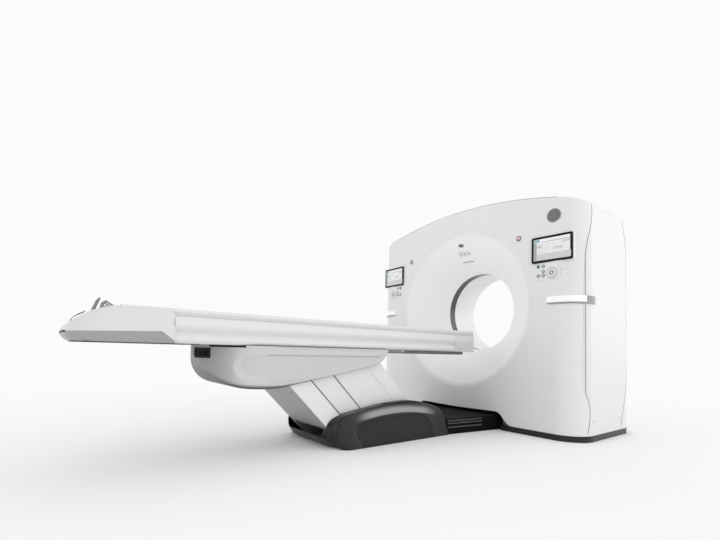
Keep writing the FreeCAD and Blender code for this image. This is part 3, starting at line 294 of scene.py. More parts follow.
def tablet_finish():
    """Black where the glass and its rim are, white on the pod behind."""
    m = Mat("tablet_finish")
    s = m.xyz()
    x = m.math("ABSOLUTE", s[0])
    face = m.math("MULTIPLY_ADD", x, 0.020 / 0.314, -0.394 - 0.742 * 0.020 / 0.314)
    behind = m.step(m.math("SUBTRACT", s[1], face), 0.0125, 0.0008)
    m.surface(m.mix(behind, (0.006, 0.006, 0.007), (0.78, 0.785, 0.79)), 0.2, rough_var=0.02, peel=0.03)
    m.b.inputs["Specular IOR Level"].default_value = 0.14
    return m.m


# painted shade: the cap's lower facet is grey
foot_cap_finish = painted_shade_blend("foot_cap_finish", (0.35, 0.353, 0.357), (0.66, 0.664, 0.668), cap_shade_mask)


def under_tray_finish():
    """Mid grey, and as pale as the beam on the face at its foot end."""
    m = Mat("under_tray_finish")
    along_y = m.step(m.xyz()[1], -1.262, 0.004)
    return m.surface(m.mix(along_y, m.tinted((0.66, 0.665, 0.67)), m.tinted((0.185, 0.187, 0.19))), 0.45)


def light_bar_finish():
    """A lit lens that ends in a plain grey cap past the gantry's corner, with a grey band along its lower edge that is
    painted shade.
    """
    m = Mat("light_bar_finish")
    s = m.xyz()
    cap = m.step(s[1], -0.262, 0.004)
    # painted shade: a grey band along the lens's lower edge
    lower_shade = m.math("SUBTRACT", 1.0, m.step(s[2], 1.0480, 0.006))
    grey = m.math("MAXIMUM", cap, lower_shade)
    lens = m.mix(m.noise(14.0), (0.92, 0.935, 0.945), (0.95, 0.96, 0.97))
    color = m.mix(grey, lens, (0.27, 0.28, 0.29))
    m.surface(color, 0.28, peel=0.05)
    m.link(color, m.b.inputs["Emission Color"])
    m.link(m.math("MULTIPLY", m.math("SUBTRACT", 1.0, grey), 0.05), m.b.inputs["Emission Strength"])
    return m.m


def ringed(name, x, z, stops, size, rough=0.35, back=None):
    """Rings of colour about (x, z): stops are (radius, colour) from the centre out."""
    m = Mat(name)
    r = m.math("DIVIDE", m.radius(x, z), size)
    c = m.ramp(r, [(p / size, q) for p, q in stops], "CONSTANT")
    return m.surface(m.mix(0.04, c, (0.3, 0.3, 0.3)), rough, peel=0.1)


def put(names, mat):
    for n in names.split():
        for slot in N[n].material_slots:
            slot.material = mat
        if not N[n].material_slots:
            N[n].data.materials.append(mat)


put("rear_cover rear_throat side_cover_left side_cover_right top_cover", cover_white)
put("front_cover front_throat", front_finish())
put("control_panels", panel_white)
put("bore_liner", liner_white)
put("scan_window", window_dark)
put("beam cradle", table_white)
put("saddle_shell", saddle_shade_finish())
put("leg_panel_1", leg_shade_finish("leg_foot_shade_finish", (-1.940, 0.130), -1))
put("leg_panel_2 leg_panel_3", leg_white)
put("leg_panel_4", leg_shade_finish("leg_head_shade_finish", (-1.155, 0.130), 1))
put("foot_cap", foot_cap_finish)
put("head_cap", cap_grey)
put("plinth base_cover", base_gloss)
put("floor_tray under_tray", dark_plastic)
put("tablet_left tablet_right", tablet_finish())
put("light_bars", light_bar_finish())
put("gantry_frame table_frame saddle_frame link_foot link_head drive_motor lift_motor xray_tube collimator detector_arc", frame_paint)
put("stator_ring bearing_inner_ring cover_screws", steel)
put("rotor_drum slip_ring motor_pulley hv_generator", alloy)
put("counterweight", iron)
put("drive_belt", belt_rubber)
put("release_handle", handle_metal)

KEYS = [(0.794, 1.340), (0.835, 1.339), (0.835, 1.297), (0.794, 1.2665), (0.835, 1.265)]
DIAL = (0.9026, 1.280)
STOP = (0.623, 1.602)
for side, s in (("left", -1), ("right", 1)):
    for i, (x, z) in enumerate(KEYS, 1):
        face = (0.10, 0.105, 0.11) if i == 1 else (0.66, 0.67, 0.68)
        put("button_%s_%d" % (side, i), ringed(
            "key_%s_%d_finish" % (side, i), s * x, z,
            [(0.0, face), (0.0062, (0.16, 0.19, 0.175)), (0.0098, (0.30, 0.31, 0.32))], 0.02))
    put("dial_button_" + side, ringed(
        "dial_%s_finish" % side, s * DIAL[0], DIAL[1],
        [(0.0, (0.72, 0.73, 0.74)), (0.0095, (0.13, 0.135, 0.14)), (0.0175, (0.72, 0.725, 0.73)),
         (0.0352, (0.50, 0.51, 0.52)), (0.0366, (0.72, 0.725, 0.73))], 0.05))
    put("stop_button_" + side, ringed("stop_%s_finish" % side, s * STOP[0], STOP[1],
        [(0.0, (0.74, 0.70, 0.70)), (0.0072, (0.40, 0.035, 0.05) if s > 0 else (0.12, 0.12, 0.125)),
         (0.0120, (0.74, 0.72, 0.72))], 0.03))

for n, o in N.items():
    me = o.data
    me.polygons.foreach_set("use_smooth", [True] * len(me.polygons))
    me.set_sharp_from_angle(angle=math.radians(28))


# ---------------------------------------------------------------- mesh helpers
def finish_piece(name, bm, mats, body, smooth=32):
    bmesh.ops.recalc_face_normals(bm, faces=bm.faces[:])
    me = bpy.data.meshes.new(name)
    bm.to_mesh(me)
    bm.free()
    for m in mats:
        me.materials.append(m)
    me.polygons.foreach_set("use_smooth", [True] * len(me.polygons))
    me.set_sharp_from_angle(angle=math.radians(smooth))
    o = bpy.data.objects.new(name, me)
    scene.collection.objects.link(o)
    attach(o, body)
    return o


def round_rect(cx, cy, w, h, r, n=6):
    pts = []
    for k, (sx, sy) in enumerate(((1, 1), (-1, 1), (-1, -1), (1, -1))):
        for i in range(n + 1):
            a = math.pi / 2 * (k + i / n)
            pts.append((cx + sx * (w / 2 - r) + r * math.cos(a), cy + sy * (h / 2 - r) + r * math.sin(a)))
    return pts


def circle(cx, cy, r, n=56):
    return [(cx + r * math.cos(2 * math.pi * i / n), cy + r * math.sin(2 * math.pi * i / n)) for i in range(n)]


def lofted(bm, rings, place, closed=False, index=0):
    """Joins outlines of equal length, each given with its height, into one skin. closed joins the
    last to the first, as for an open ring; otherwise both ends are capped."""
    rows = [[bm.verts.new(place(a, b, h)) for a, b in pts] for pts, h in rings]
    n = len(rows[0])
    spans = list(zip(rows, rows[1:])) + ([(rows[-1], rows[0])] if closed else [])
    for p, q in spans:
        for i in range(n):
            f = bm.faces.new((p[i], p[(i + 1) % n], q[(i + 1) % n], q[i]))
            f.material_index = index
    if not closed:
        for row in (rows[0], rows[-1]):
            f = bm.faces.new(row)
            f.material_index = index


def tile(bm, cx, cy, w, h, place, high, r=0.0008, index=0, soft=0.0002, base=0.0):
    """A low rounded tile with softened upper edges."""
    s = min(soft, high * 0.6)
    lofted(bm, [(round_rect(cx, cy, w, h, r, 3), base), (round_rect(cx, cy, w, h, r, 3), base + high - s),
                (round_rect(cx, cy, w - 2 * s, h - 2 * s, max(r - s, 1e-4), 3), base + high)], place, index=index)


def hoop(bm, cx, cy, inner, outer, place, high, index=0, n=56, base=0.0):
    """A flat ring with softened upper edges."""
    s = min(0.0003, high * 0.4, (outer - inner) * 0.25)
    lofted(bm, [(circle(cx, cy, outer, n), base), (circle(cx, cy, outer, n), base + high - s),
                (circle(cx, cy, outer - s, n), base + high), (circle(cx, cy, inner + s, n), base + high),
                (circle(cx, cy, inner, n), base + high - s), (circle(cx, cy, inner, n), base)],
           place, closed=True, index=index)


def front_y(x):
    """The gantry's front surface at x, with its rounded corners."""
    d = abs(x) - 0.920
    return FRONT if d <= 0 else FRONT + 0.2 - math.sqrt(max(0.04 - d * d, 0.0))


def on_front(x, z, h):
    return Vector((x, front_y(x) - h, z))


def on_panel(x, z, h):
    return Vector((x, FRONT - 0.004 - h, z))


def on_funnel(x, z, h):
    """The funnel's cone at (x, z), h off its surface."""
    r = math.hypot(x, z - AZ)
    y = FRONT + 0.339 * (0.712 - r) / 0.337
    k = 1 / math.hypot(1, 0.339 / 0.337)
    g = 0.339 / 0.337
    return Vector((x - h * k * g * x / r, y - h * k, z - h * k * g * (z - AZ) / r))


# ---------------------------------------------------------------- screens
def screen_place(side):
    a, b = Vector((0.742, -0.394, 0)), Vector((1.056, -0.374, 0))
    if side < 0:
        a, b = Vector((-1.056, -0.374, 0)), Vector((-0.742, -0.394, 0))
    u = (b - a).normalized()
    n = Vector((u.y, -u.x, 0))
    mid = (a + b) / 2 + Vector((0, 0, 1.472))
    return lambda p, q, h: mid + u * p + Vector((0, 0, q)) + n * h


def lit(name, color, strength, var=0.05):
    m = Mat(name)
    c = m.tinted(color, spread=var, scale=30.0)
    m.surface(c, 0.14, rough_var=0.02, peel=0.0, grain=0.0)
    m.link(c, m.b.inputs["Emission Color"])
    m.b.inputs["Emission Strength"].default_value = strength
    return m.m


scr = [lit("screen_ground", (0.62, 0.63, 0.64), 0.14), lit("screen_head", (0.74, 0.75, 0.76), 0.16),
       lit("screen_side", (0.30, 0.31, 0.31), 0.10), lit("screen_tag", (0.20, 0.34, 0.42), 0.12),
       lit("screen_row", (0.72, 0.73, 0.74), 0.16), lit("screen_line", (0.16, 0.17, 0.18), 0.1),
       lit("screen_low", (0.54, 0.545, 0.55), 0.13)]
W, H = 0.2790, 0.1705
for side, s in (("left", -1), ("right", 1)):
    P = screen_place(s)
    bm = bmesh.new()
    tile(bm, 0, 0, W, H, P, 0.0004, 0.003, 0)
    top, left = H / 2, -W / 2
    up = 0.0004
    tile(bm, 0, top - 0.0125, W - 0.003, 0.021, P, 0.0003, index=1, base=up)
    tile(bm, left + 0.0245, top - 0.0125, 0.044, 0.018, P, 0.0002, index=3, base=up + 0.0003)
    tile(bm, left + 0.1960, top - 0.0245, 0.170, 0.0022, P, 0.0003, r=0.0003, index=5, base=up)
    tile(bm, left + 0.0130, -0.0125, 0.021, H - 0.030, P, 0.0003, index=2, base=up)
    for k in range(6):
        tile(bm, left + 0.0130, top - 0.040 - k * 0.0225, 0.015, 0.0026, P, 0.0002, r=0.0006, index=4, base=up + 0.0003)
    for k in range(4):
        y = top - 0.040 - k * 0.0225
        for a, w in ((0.0475, 0.040), (0.1130, 0.078), (0.1890, 0.062), (0.2525, 0.052)):
            tile(bm, left + a, y, w, 0.0178, P, 0.0003, index=4 if (k + int(a * 100)) % 5 else 6, base=up)
        tile(bm, left + 0.0430, y, 0.022, 0.0018, P, 0.0002, r=0.0004, index=5, base=up + 0.0003)
        tile(bm, left + 0.1010, y + 0.003, 0.040, 0.0014, P, 0.0002, r=0.0004, index=2, base=up + 0.0003)
    tile(bm, left + 0.1560, -H / 2 + 0.0265, 0.258, 0.046, P, 0.0003, index=6, base=up)
    finish_piece("screen_" + side, bm, scr, "root")

# ---------------------------------------------------------------- rings, prints and blank disc
for side, s in (("left", -1), ("right", 1)):
    bm = bmesh.new()
    for i, (x, z) in enumerate(KEYS):
        hoop(bm, s * x, z, 0.0117, 0.0142, on_panel, 0.0006, index=1 if i in (1, 2) else 0)
    hoop(bm, s * DIAL[0], DIAL[1], 0.0394, 0.0422, on_panel, 0.0006, index=2, n=96)
    finish_piece("key_rings_" + side, bm, [print_dark, print_green, print_grey], "root")

    bm = bmesh.new()
    hoop(bm, s * STOP[0], STOP[1], 0.0165, 0.0222, lambda x, z, h: Vector((x, FRONT - 0.008 - h, z)), 0.0011, n=72)
    finish_piece("stop_ring_" + side, bm, [red_plastic if s > 0 else print_dark], "root")

    # printed outlines beside and under the round control
    bm = bmesh.new()
    tile(bm, s * 1.019, 1.2285, 0.122, 0.0016, on_front, 0.0004, r=0.0006)
    for z in (1.262, 1.300):
        for x in (0.974, 1.004, 1.034):
            tile(bm, s * x, z, 0.020, 0.0016, on_front, 0.0004, r=0.0006)
    tile(bm, s * 0.966, 1.281, 0.0014, 0.050, on_front, 0.0004, r=0.0005)
    finish_piece("panel_print_" + side, bm, [print_grey], "root")

# a plain round blank, which follows the rounded corner
bm = bmesh.new()
cx, cz, n = 0.9155, 1.7265, 72
lofted(bm, [(circle(cx, cz, 0.0560, n), 0.0), (circle(cx, cz, 0.0560, n), 0.0030), (circle(cx, cz, 0.0552, n), 0.0038),
            (circle(cx, cz, 0.0518, n), 0.0038), (circle(cx, cz, 0.0512, n), 0.0028)], on_front)
finish_piece("blank_rim", bm, [rim_metal], "root")
bm = bmesh.new()
rings = [(circle(cx, cz, 0.0511, n), 0.0027)]
rings += [(circle(cx, cz, 0.0511 * (1 - k / 9), n), 0.0029 + 0.0016 * (1 - (1 - k / 9) ** 2)) for k in range(0, 9)]
lofted(bm, rings, on_front)
finish_piece("blank_disc", bm, [moulded("blank_finish", (0.135, 0.138, 0.142), 0.30, rough_var=0.03, peel=0.05)], "root")

# funnel: a small sensor eye, a bare outlined plate and a short rule
bm = bmesh.new()
def oval(cx, cz, a, b, n=48):
    return [(cx + a * math.cos(2 * math.pi * i / n), cz + b * math.sin(2 * math.pi * i / n)) for i in range(n)]


lofted(bm, [(oval(-0.039, 1.684, 0.032, 0.0150), 0.0), (oval(-0.039, 1.684, 0.032, 0.0150), 0.0012),
            (oval(-0.039, 1.684, 0.030, 0.0132), 0.0018), (oval(-0.039, 1.684, 0.022, 0.0084), 0.0018),
            (oval(-0.039, 1.684, 0.021, 0.0076), 0.0006)], on_funnel)
finish_piece("funnel_eye", bm, [print_grey], "root")
bm = bmesh.new()
lofted(bm, [(oval(-0.039, 1.684, 0.0200, 0.0070), 0.0004), (oval(-0.039, 1.684, 0.0200, 0.0070), 0.0016),
            (oval(-0.039, 1.684, 0.0110, 0.0034), 0.0024)], on_funnel)
finish_piece("funnel_lens", bm, [print_dark], "root")
bm = bmesh.new()
for z in (1.6310, 1.6030):
    tile(bm, -0.0445, z, 0.130, 0.0024, on_funnel, 0.0006, r=0.0008)
for x in (-0.1090, 0.0200):
    tile(bm, x, 1.6170, 0.0024, 0.0300, on_funnel, 0.0006, r=0.0008)
for x in (-0.0845, -0.0445, -0.0045):
    tile(bm, x, 1.6170, 0.028, 0.0100, on_funnel, 0.0006, r=0.0020)
tile(bm, -0.0530, 1.5466, 0.118, 0.0070, on_funnel, 0.0006, r=0.0016)
finish_piece("funnel_plate", bm, [print_grey], "root")

# ---------------------------------------------------------------- table details
def block(name, x0, x1, y0, y1, z0, z1, soft, mats, body, seg=4):
    """A small part with rounded edges."""
    bm = bmesh.new()
    bmesh.ops.create_cube(bm, size=1.0)
    for v in bm.verts:
        v.co = Vector(((x0 + x1) / 2 + v.co.x * (x1 - x0), (y0 + y1) / 2 + v.co.y * (y1 - y0), (z0 + z1) / 2 + v.co.z * (z1 - z0)))
    bmesh.ops.bevel(bm, geom=bm.edges[:], offset=soft, segments=seg, profile=0.5, affect="EDGES", clamp_overlap=True)
    return finish_piece(name, bm, mats, body)


# a black strip laid in the slot that runs round the tip: painted shade inside the slot
bm = bmesh.new()
SLOT = [(0.0, -3.3945), (0.060, -3.3945), (0.120, -3.3945), (0.147, -3.3950), (0.152, -3.4000), (0.172, -3.3984), (0.1906, -3.3965),
        (0.2066, -3.3926), (0.2226, -3.3880)]
path = [(-x, y) for x, y in reversed(SLOT[1:])] + SLOT
rows = []
for x, y in path:
    k = 0.0035 / math.hypot(x, 0.2)
    rows.append([bm.verts.new((x, y, 0.6905)), bm.verts.new((x, y, 0.6985)),
                 bm.verts.new((x - x * k, y + 0.2 * k, 0.6985)), bm.verts.new((x - x * k, y + 0.2 * k, 0.6905))])
for p, q in zip(rows, rows[1:]):
    for i in range(4):
        bm.faces.new((p[i], p[(i + 1) % 4], q[(i + 1) % 4], q[i]))
bm.faces.new(rows[0])
bm.faces.new(rows[-1])
finish_piece("tip_slot_shade", bm, [black_matte], "saddle")


def cap_top(y):
    """The foot cap's upper line on the middle plane."""
    pts = [(-3.401, 0.7035), (-3.394, 0.7175), (-3.369, 0.7435), (-3.330, 0.775), (-3.286, 0.801), (-3.245, 0.818),
           (-3.195, 0.832), (-3.140, 0.836)]
    for (a, b), (c, d) in zip(pts, pts[1:]):
        if a <= y <= c:
            return b + (d - b) * (y - a) / (c - a)
    return pts[-1][1] if y > -3.14 else pts[0][1]


# grip: a thin flap rooted at the tip side, standing off the nose
bm = bmesh.new()
rows = []
for i in range(23):
    y = -3.3660 + 0.0660 * i / 22
    t = (cap_top(y + 0.004) - cap_top(y - 0.004)) / 0.008
    nrm = Vector((0, -t, 1)).normalized()
    rise = min(1.0, i / 7.0)
    up = -0.001 + 0.0100 * rise * rise * (3 - 2 * rise)
    base = Vector((0, y, cap_top(y)))
    sec = [(-0.075, up), (-0.0755, up + 0.0009), (-0.075, up + 0.0018), (0.075, up + 0.0018), (0.0755, up + 0.0009), (0.075, up)]
    rows.append([bm.verts.new(base + Vector((a, 0, 0)) + nrm * h) for a, h in sec])
for p, q in zip(rows, rows[1:]):
    for i in range(6):
        bm.faces.new((p[i], p[(i + 1) % 6], q[(i + 1) % 6], q[i]))
bm.faces.new(rows[0])
bm.faces.new(rows[-1])
finish_piece("grip_strip", bm, [print_dark], "saddle")

# windowed bracket behind the handle: two cheeks, each a triangle with a rounded window
TRI = [(-3.2430, 0.8120), (-3.2350, 0.8470), (-3.2290, 0.8600), (-3.2190, 0.8630), (-3.2080, 0.8555), (-3.1905, 0.8440), (-3.1730, 0.8385), (-3.1730, 0.8270)]
WIN = [(-3.2290, 0.8335), (-3.2255, 0.8420), (-3.2230, 0.8480), (-3.2180, 0.8515), (-3.2120, 0.8490), (-3.2040, 0.8435), (-3.1985, 0.8400), (-3.2030, 0.8385)]
for tag, xc in (("left", -0.046), ("right", 0.046)):
    bm = bmesh.new()
    outer_in = [bm.verts.new(Vector((xc - 0.005, y, z))) for y, z in TRI]
    outer_out = [bm.verts.new(Vector((xc + 0.005, y, z))) for y, z in TRI]
    win_in = [bm.verts.new(Vector((xc - 0.005, y, z))) for y, z in WIN]
    win_out = [bm.verts.new(Vector((xc + 0.005, y, z))) for y, z in WIN]
    k = len(TRI)
    for i in range(k):
        j = (i + 1) % k
        bm.faces.new((outer_in[i], outer_in[j], outer_out[j], outer_out[i]))
        bm.faces.new((win_in[i], win_in[j], win_out[j], win_out[i]))
        bm.faces.new((outer_in[i], outer_in[j], win_in[j], win_in[i]))
        bm.faces.new((outer_out[i], outer_out[j], win_out[j], win_out[i]))
    bmesh.ops.recalc_face_normals(bm, faces=bm.faces[:])
    sharp = [e for e in bm.edges if len(e.link_faces) == 2 and e.calc_face_angle() > math.radians(60)]
    bmesh.ops.bevel(bm, geom=sharp, offset=0.0012, segments=3, profile=0.5, affect="EDGES", clamp_overlap=True)
    finish_piece("bracket_" + tag, bm, [bracket_grey], "saddle")
block("bracket_bar", -0.050, 0.050, -3.2240, -3.2140, 0.8540, 0.8620, 0.0024, [bracket_grey], "saddle")

# ---------------------------------------------------------------- reliefs cut into CAD mouldings
def inside_distance(y, z, poly):
    """How far (y, z) lies inside the outline; 0 outside it."""
    inside, best = False, 1e9
    k = len(poly)
    for i in range(k):
        (ay, az), (by, bz) = poly[i], poly[(i + 1) % k]
        if (az > z) != (bz > z) and y < (by - ay) * (z - az) / (bz - az) + ay:
            inside = not inside
        dy, dz = by - ay, bz - az
        t = max(0.0, min(1.0, ((y - ay) * dy + (z - az) * dz) / (dy * dy + dz * dz)))
        best = min(best, math.hypot(y - ay - t * dy, z - az - t * dz))
    return best if inside else 0.0


def soft(t):
    t = max(0.0, min(1.0, t))
    return t * t * (3 - 2 * t)


def steps(a, b, n):
    return [a + (b - a) * i / n for i in range(n + 1)]


def cut_up(bm, axis, places, chosen):
    """Splits the chosen faces that straddle each place along an axis."""
    for at in places:
        co, no = [0, 0, 0], [0, 0, 0]
        co[axis], no[axis] = at, 1
        geom = set()
        for f in bm.faces:
            c = [v.co[axis] for v in f.verts]
            if min(c) < at < max(c) and chosen(f):
                geom.add(f)
                geom.update(f.edges)
                geom.update(f.verts)
        if geom:
            bmesh.ops.bisect_plane(bm, geom=list(geom), plane_co=co, plane_no=no, dist=1e-6)


def as_piece(node, name, bm, mats, body, smooth):
    me = bpy.data.meshes.new(name)
    bm.to_mesh(me)
    bm.free()
    for m in mats:
        me.materials.append(m)
    me.polygons.foreach_set("use_smooth", [True] * len(me.polygons))
    me.set_sharp_from_angle(angle=math.radians(smooth))
    o = bpy.data.objects.new(name, me)
    scene.collection.objects.link(o)
    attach(o, body)
    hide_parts(node)
    return o


def copy_of(node):
    bm = bmesh.new()
    bm.from_mesh(N[node].data)
    bmesh.ops.remove_doubles(bm, verts=bm.verts[:], dist=1e-5)
    for f in bm.faces:
        f.material_index = 0
    return bm


def press(bm, wall, depth):
    """Moves both skins of a wall inward, square to it in plan, by depth(y, z)."""
    moves = []
    for v in bm.verts:
        near = [f for f in v.link_faces if wall(f)]
        d = depth(v.co.y, v.co.z) if near else 0.0
        if d > 0:
            n = sum((f.normal for f in near), Vector())
            n.z = 0.0
            if n.length > 1e-6:
                n.normalize()
                moves.append((v, n * d * (-1 if n.x * v.co.x > 0 else 1)))
    for v, move in moves:
        v.co += move


SADDLE_IN = [(-2.586, 0.6065), (-2.610, 0.580), (-2.6225, 0.550), (-2.624, 0.520), (-2.610, 0.488), (-2.580, 0.462),
             (-2.530, 0.443), (-2.470, 0.432), (-2.400, 0.426), (-2.320, 0.427), (-2.180, 0.450), (-1.980, 0.486),
             (-1.780, 0.523), (-1.640, 0.556), (-1.565, 0.584), (-1.548, 0.6065)]


def saddle_depth(y, z):
    d = inside_distance(y, z, SADDLE_IN)
    if d <= 0:
        return 0.0
    wide = 0.014 + 0.030 * soft((-2.40 - y) / 0.12)
    lean = 0.0045 + 0.080 * max(0.0, 0.6065 - z)
    return lean * soft(d / wide)


def saddle_wall(f):
    c, n = f.calc_center_median(), f.normal
    if abs(n.z) > 0.40 or c.y > -1.50:
        return False
    return (abs(c.x) > 0.262 and abs(n.x) > 0.93) or (c.y < -2.450 and abs(c.x) > 0.175 and abs(n.x) > 0.25)


bm = copy_of("saddle_shell")
cut_up(bm, 1, steps(-2.640, -1.530, 72), saddle_wall)
cut_up(bm, 2, steps(0.425, 0.585, 20) + steps(0.588, 0.6095, 9), saddle_wall)
bmesh.ops.remove_doubles(bm, verts=bm.verts[:], dist=3e-4)
press(bm, saddle_wall, saddle_depth)
as_piece("saddle_shell", "saddle_shell_detail", bm, [N["saddle_shell"].material_slots[0].material], "saddle", 34)

BASE_IN = [(-1.800, 0.036), (-1.826, 0.062), (-1.831, 0.100), (-1.822, 0.140), (-1.795, 0.164), (-1.735, 0.179),
           (-1.640, 0.190), (-1.530, 0.1965), (-1.400, 0.200), (-1.285, 0.196), (-1.205, 0.180), (-1.150, 0.150),
           (-1.115, 0.105), (-1.092, 0.062), (-1.078, -0.030), (-1.400, -0.040), (-1.790, -0.030)]


def base_depth(y, z):
    return 0.0095 * soft(inside_distance(y, z, BASE_IN) / 0.016)


def base_wall(f):
    return abs(f.calc_center_median().x) > 0.300 and abs(f.normal.x) > 0.93


bm = copy_of("base_cover")
cut_up(bm, 1, steps(-1.845, -1.065, 60), base_wall)
cut_up(bm, 2, steps(0.006, 0.206, 20) + steps(0.213, 0.276, 9), base_wall)
press(bm, base_wall, base_depth)
for f in bm.faces:
    c = f.calc_center_median()
    f.material_index = 1 if abs(c.x) > 0.30 and abs(f.normal.x) > 0.90 and inside_distance(c.y, c.z, BASE_IN) > 0.010 else 0
for v in bm.verts:
    x, y, z = v.co
    if abs(x) > 0.296 and -1.86 < y < -1.00:
        line = 0.205 - 0.29 * (y + 1.45) ** 2
        t = max(0.0, min(1.4, (z - line) / 0.050))
        ends = soft((y + 1.86) / 0.14) * soft((-1.00 - y) / 0.14)
        v.co.x -= math.copysign(0.012 * t * t * ends * soft((abs(x) - 0.296) / 0.030), x)
# the foot-end corners, round in plan
CORNER = 0.165
cut_up(bm, 1, steps(-2.0090, -2.0096 + CORNER, 12), lambda f: True)
for k in range(10):
    at = 0.365 - CORNER + CORNER * k / 10
    cut_up(bm, 0, [at, -at], lambda f: f.calc_center_median().y < -2.0096 + CORNER)
for v in bm.verts:
    u, w = (abs(v.co.x) - 0.365 + CORNER) / CORNER, (-2.0096 + CORNER - v.co.y) / CORNER
    if u > 0 and w > 0:
        k = max(u, w) / math.hypot(u, w)
        v.co.x = math.copysign(0.365 - CORNER + u * k * CORNER, v.co.x)
        v.co.y = -2.0096 + CORNER - w * k * CORNER
as_piece("base_cover", "base_cover_detail", bm, [base_gloss, inset_dark], "root", 34)

# the tray under the beam, its foot end cut back underneath
bm = copy_of("under_tray")
cut_up(bm, 1, [-1.2520], lambda f: True)
for v in bm.verts:
    if v.co.y < -1.2800 and v.co.z < 0.6490:
        v.co.z = 0.6490
as_piece("under_tray", "under_tray_detail", bm, [under_tray_finish()], "saddle", 28)


# ---------------------------------------------------------------- foot cap: one smooth nose
def along(table, y):
    if y <= table[0][0]:
        return table[0][1]
    for (a, b), (c, d) in zip(table, table[1:]):
        if y <= c:
            return b + (d - b) * (y - a) / (c - a)
    return table[-1][1]


NOSE_W = [(-3.4010, 0.100), (-3.4000, 0.150), (-3.3965, 0.190), (-3.3880, 0.222), (-3.3740, 0.246), (-3.3550, 0.2625),
          (-3.3300, 0.2745), (-3.3000, 0.2825), (-3.2650, 0.2865), (-3.2300, 0.2880)]
NOSE_LOW = [(-3.4010, 0.6960), (-3.3980, 0.6890), (-3.3930, 0.6800), (-3.3860, 0.6700), (-3.3760, 0.6600), (-3.3600, 0.6535),
            (-3.3400, 0.6520)]
NOSE_WIDE = [(-3.4010, 0.6985), (-3.3980, 0.6955), (-3.3930, 0.6945), (-3.3860, 0.6942), (-3.3800, 0.6950), (-3.0030, 0.7100),
             (-2.9850, 0.7000), (-2.9650, 0.6860), (-2.9500, 0.6690), (-2.9400, 0.6600)]
SHELL_SIDE = [(1.000, 0.00), (0.9985, 0.12), (0.992, 0.26), (0.979, 0.42), (0.955, 0.58), (0.915, 0.73), (0.850, 0.865),
              (0.770, 0.945), (0.660, 0.985), (0.520, 1.0), (0.26, 1.0)]


def cap_section(y, notch):
    """Half the cap's outline at y, from the middle of the underside up to the middle of the top."""
    w, low, mid, top = along(NOSE_W, y), along(NOSE_LOW, y), along(NOSE_WIDE, y), min(cap_top(y), 0.836)
    facet = 0.036 * min(1.0, (mid - low) / 0.05)
    side = [(w - facet, low), (w - facet * 0.62, low + (mid - low) * 0.30), (w - facet * 0.25, low + (mid - low) * 0.68),
            (w - 0.0015, mid - 0.0015)]
    shell = [(w * a, mid + (top - mid) * b) for a, b in SHELL_SIDE]
    if not notch:
        return side + shell
    cut_x = 0.227
    kept = [q for q in shell if q[0] > cut_x + 0.004]
    nxt = shell[len(kept)]
    last = kept[-1]
    t = (last[0] - cut_x) / (last[0] - nxt[0])
    edge_z = last[1] + (nxt[1] - last[1]) * t
    while len(kept) < 9:
        kept.append(((kept[-1][0] + cut_x) / 2, (kept[-1][1] + edge_z) / 2))
    return side + kept[:9] + [(cut_x, edge_z), (cut_x, 0.793), (0.203, 0.793), (0.203, 0.781)]


def cap_piece(name, ys, notch):
    bm = bmesh.new()
    rows = []
    for y in ys:
        half = cap_section(y, notch)
        ring = [(a, b) for a, b in half] + [(-a, b) for a, b in reversed(half)]
        rows.append([bm.verts.new((a, y, b)) for a, b in ring])
    n = len(rows[0])
    for p, q in zip(rows, rows[1:]):
        for i in range(n):
            bm.faces.new((p[i], p[(i + 1) % n], q[(i + 1) % n], q[i]))
    bm.faces.new(rows[0])
    bm.faces.new(rows[-1])
    bmesh.ops.recalc_face_normals(bm, faces=bm.faces[:])
    me = bpy.data.meshes.new(name)
    bm.to_mesh(me)
    bm.free()
    return bpy.data.objects.new(name, me)


nose_y = [-3.4010, -3.4000, -3.3982, -3.3955, -3.3915, -3.3865, -3.3805, -3.3735, -3.3650, -3.3550, -3.3440, -3.3310,
          -3.3170, -3.3010, -3.2850, -3.2680, -3.2500, -3.2320, -3.2150, -3.1970, -3.1800]
nose = cap_piece("nose_form", nose_y, False)
scene.collection.objects.link(nose)
cutters = []
for k, (x0, x1, y0, y1, z0, z1) in enumerate(((-0.078, 0.078, -3.292, -3.264, 0.787, 0.900), (-0.150, 0.150, -3.430, -3.3925, 0.6898, 0.6992))):
    bm = bmesh.new()
    bmesh.ops.create_cube(bm, size=1.0)
    for v in bm.verts:
        v.co = Vector(((x0 + x1) / 2 + v.co.x * (x1 - x0), (y0 + y1) / 2 + v.co.y * (y1 - y0), (z0 + z1) / 2 + v.co.z * (z1 - z0)))
    me = bpy.data.meshes.new("nose_cut_%d" % k)
    bm.to_mesh(me)
    bm.free()
    c = bpy.data.objects.new("nose_cut_%d" % k, me)
    scene.collection.objects.link(c)
    cutters.append(c)
    md = nose.modifiers.new("cut_%d" % k, "BOOLEAN")
    md.operation, md.solver, md.object = "DIFFERENCE", "EXACT", c
bpy.context.view_layer.update()
done = bpy.data.meshes.new_from_object(nose.evaluated_get(bpy.context.evaluated_depsgraph_get()))
for o in cutters + [nose]:
    me = o.data
    bpy.data.objects.remove(o)
    bpy.data.meshes.remove(me)
wing = cap_piece("wing_form", [-3.180, -3.120, -3.060, -3.003, -2.994, -2.985, -2.975, -2.965, -2.957, -2.950, -2.945, -2.940], True)
bm = bmesh.new()
bm.from_mesh(done)
bm.from_mesh(wing.data)
bpy.data.meshes.remove(done)
me = wing.data
bpy.data.objects.remove(wing)
bpy.data.meshes.remove(me)
cap_o = finish_piece("foot_cap_detail", bm, [foot_cap_finish], "saddle", smooth=24)
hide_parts("foot_cap")


# ---------------------------------------------------------------- connector, and black strips painted as the shadow in the gap under the beam
def tree(node):
    bm = bmesh.new()
    bm.from_mesh(N[node].data)
    t = BVHTree.FromBMesh(bm)
    bm.free()
    return t


bow = tree("saddle_shell")


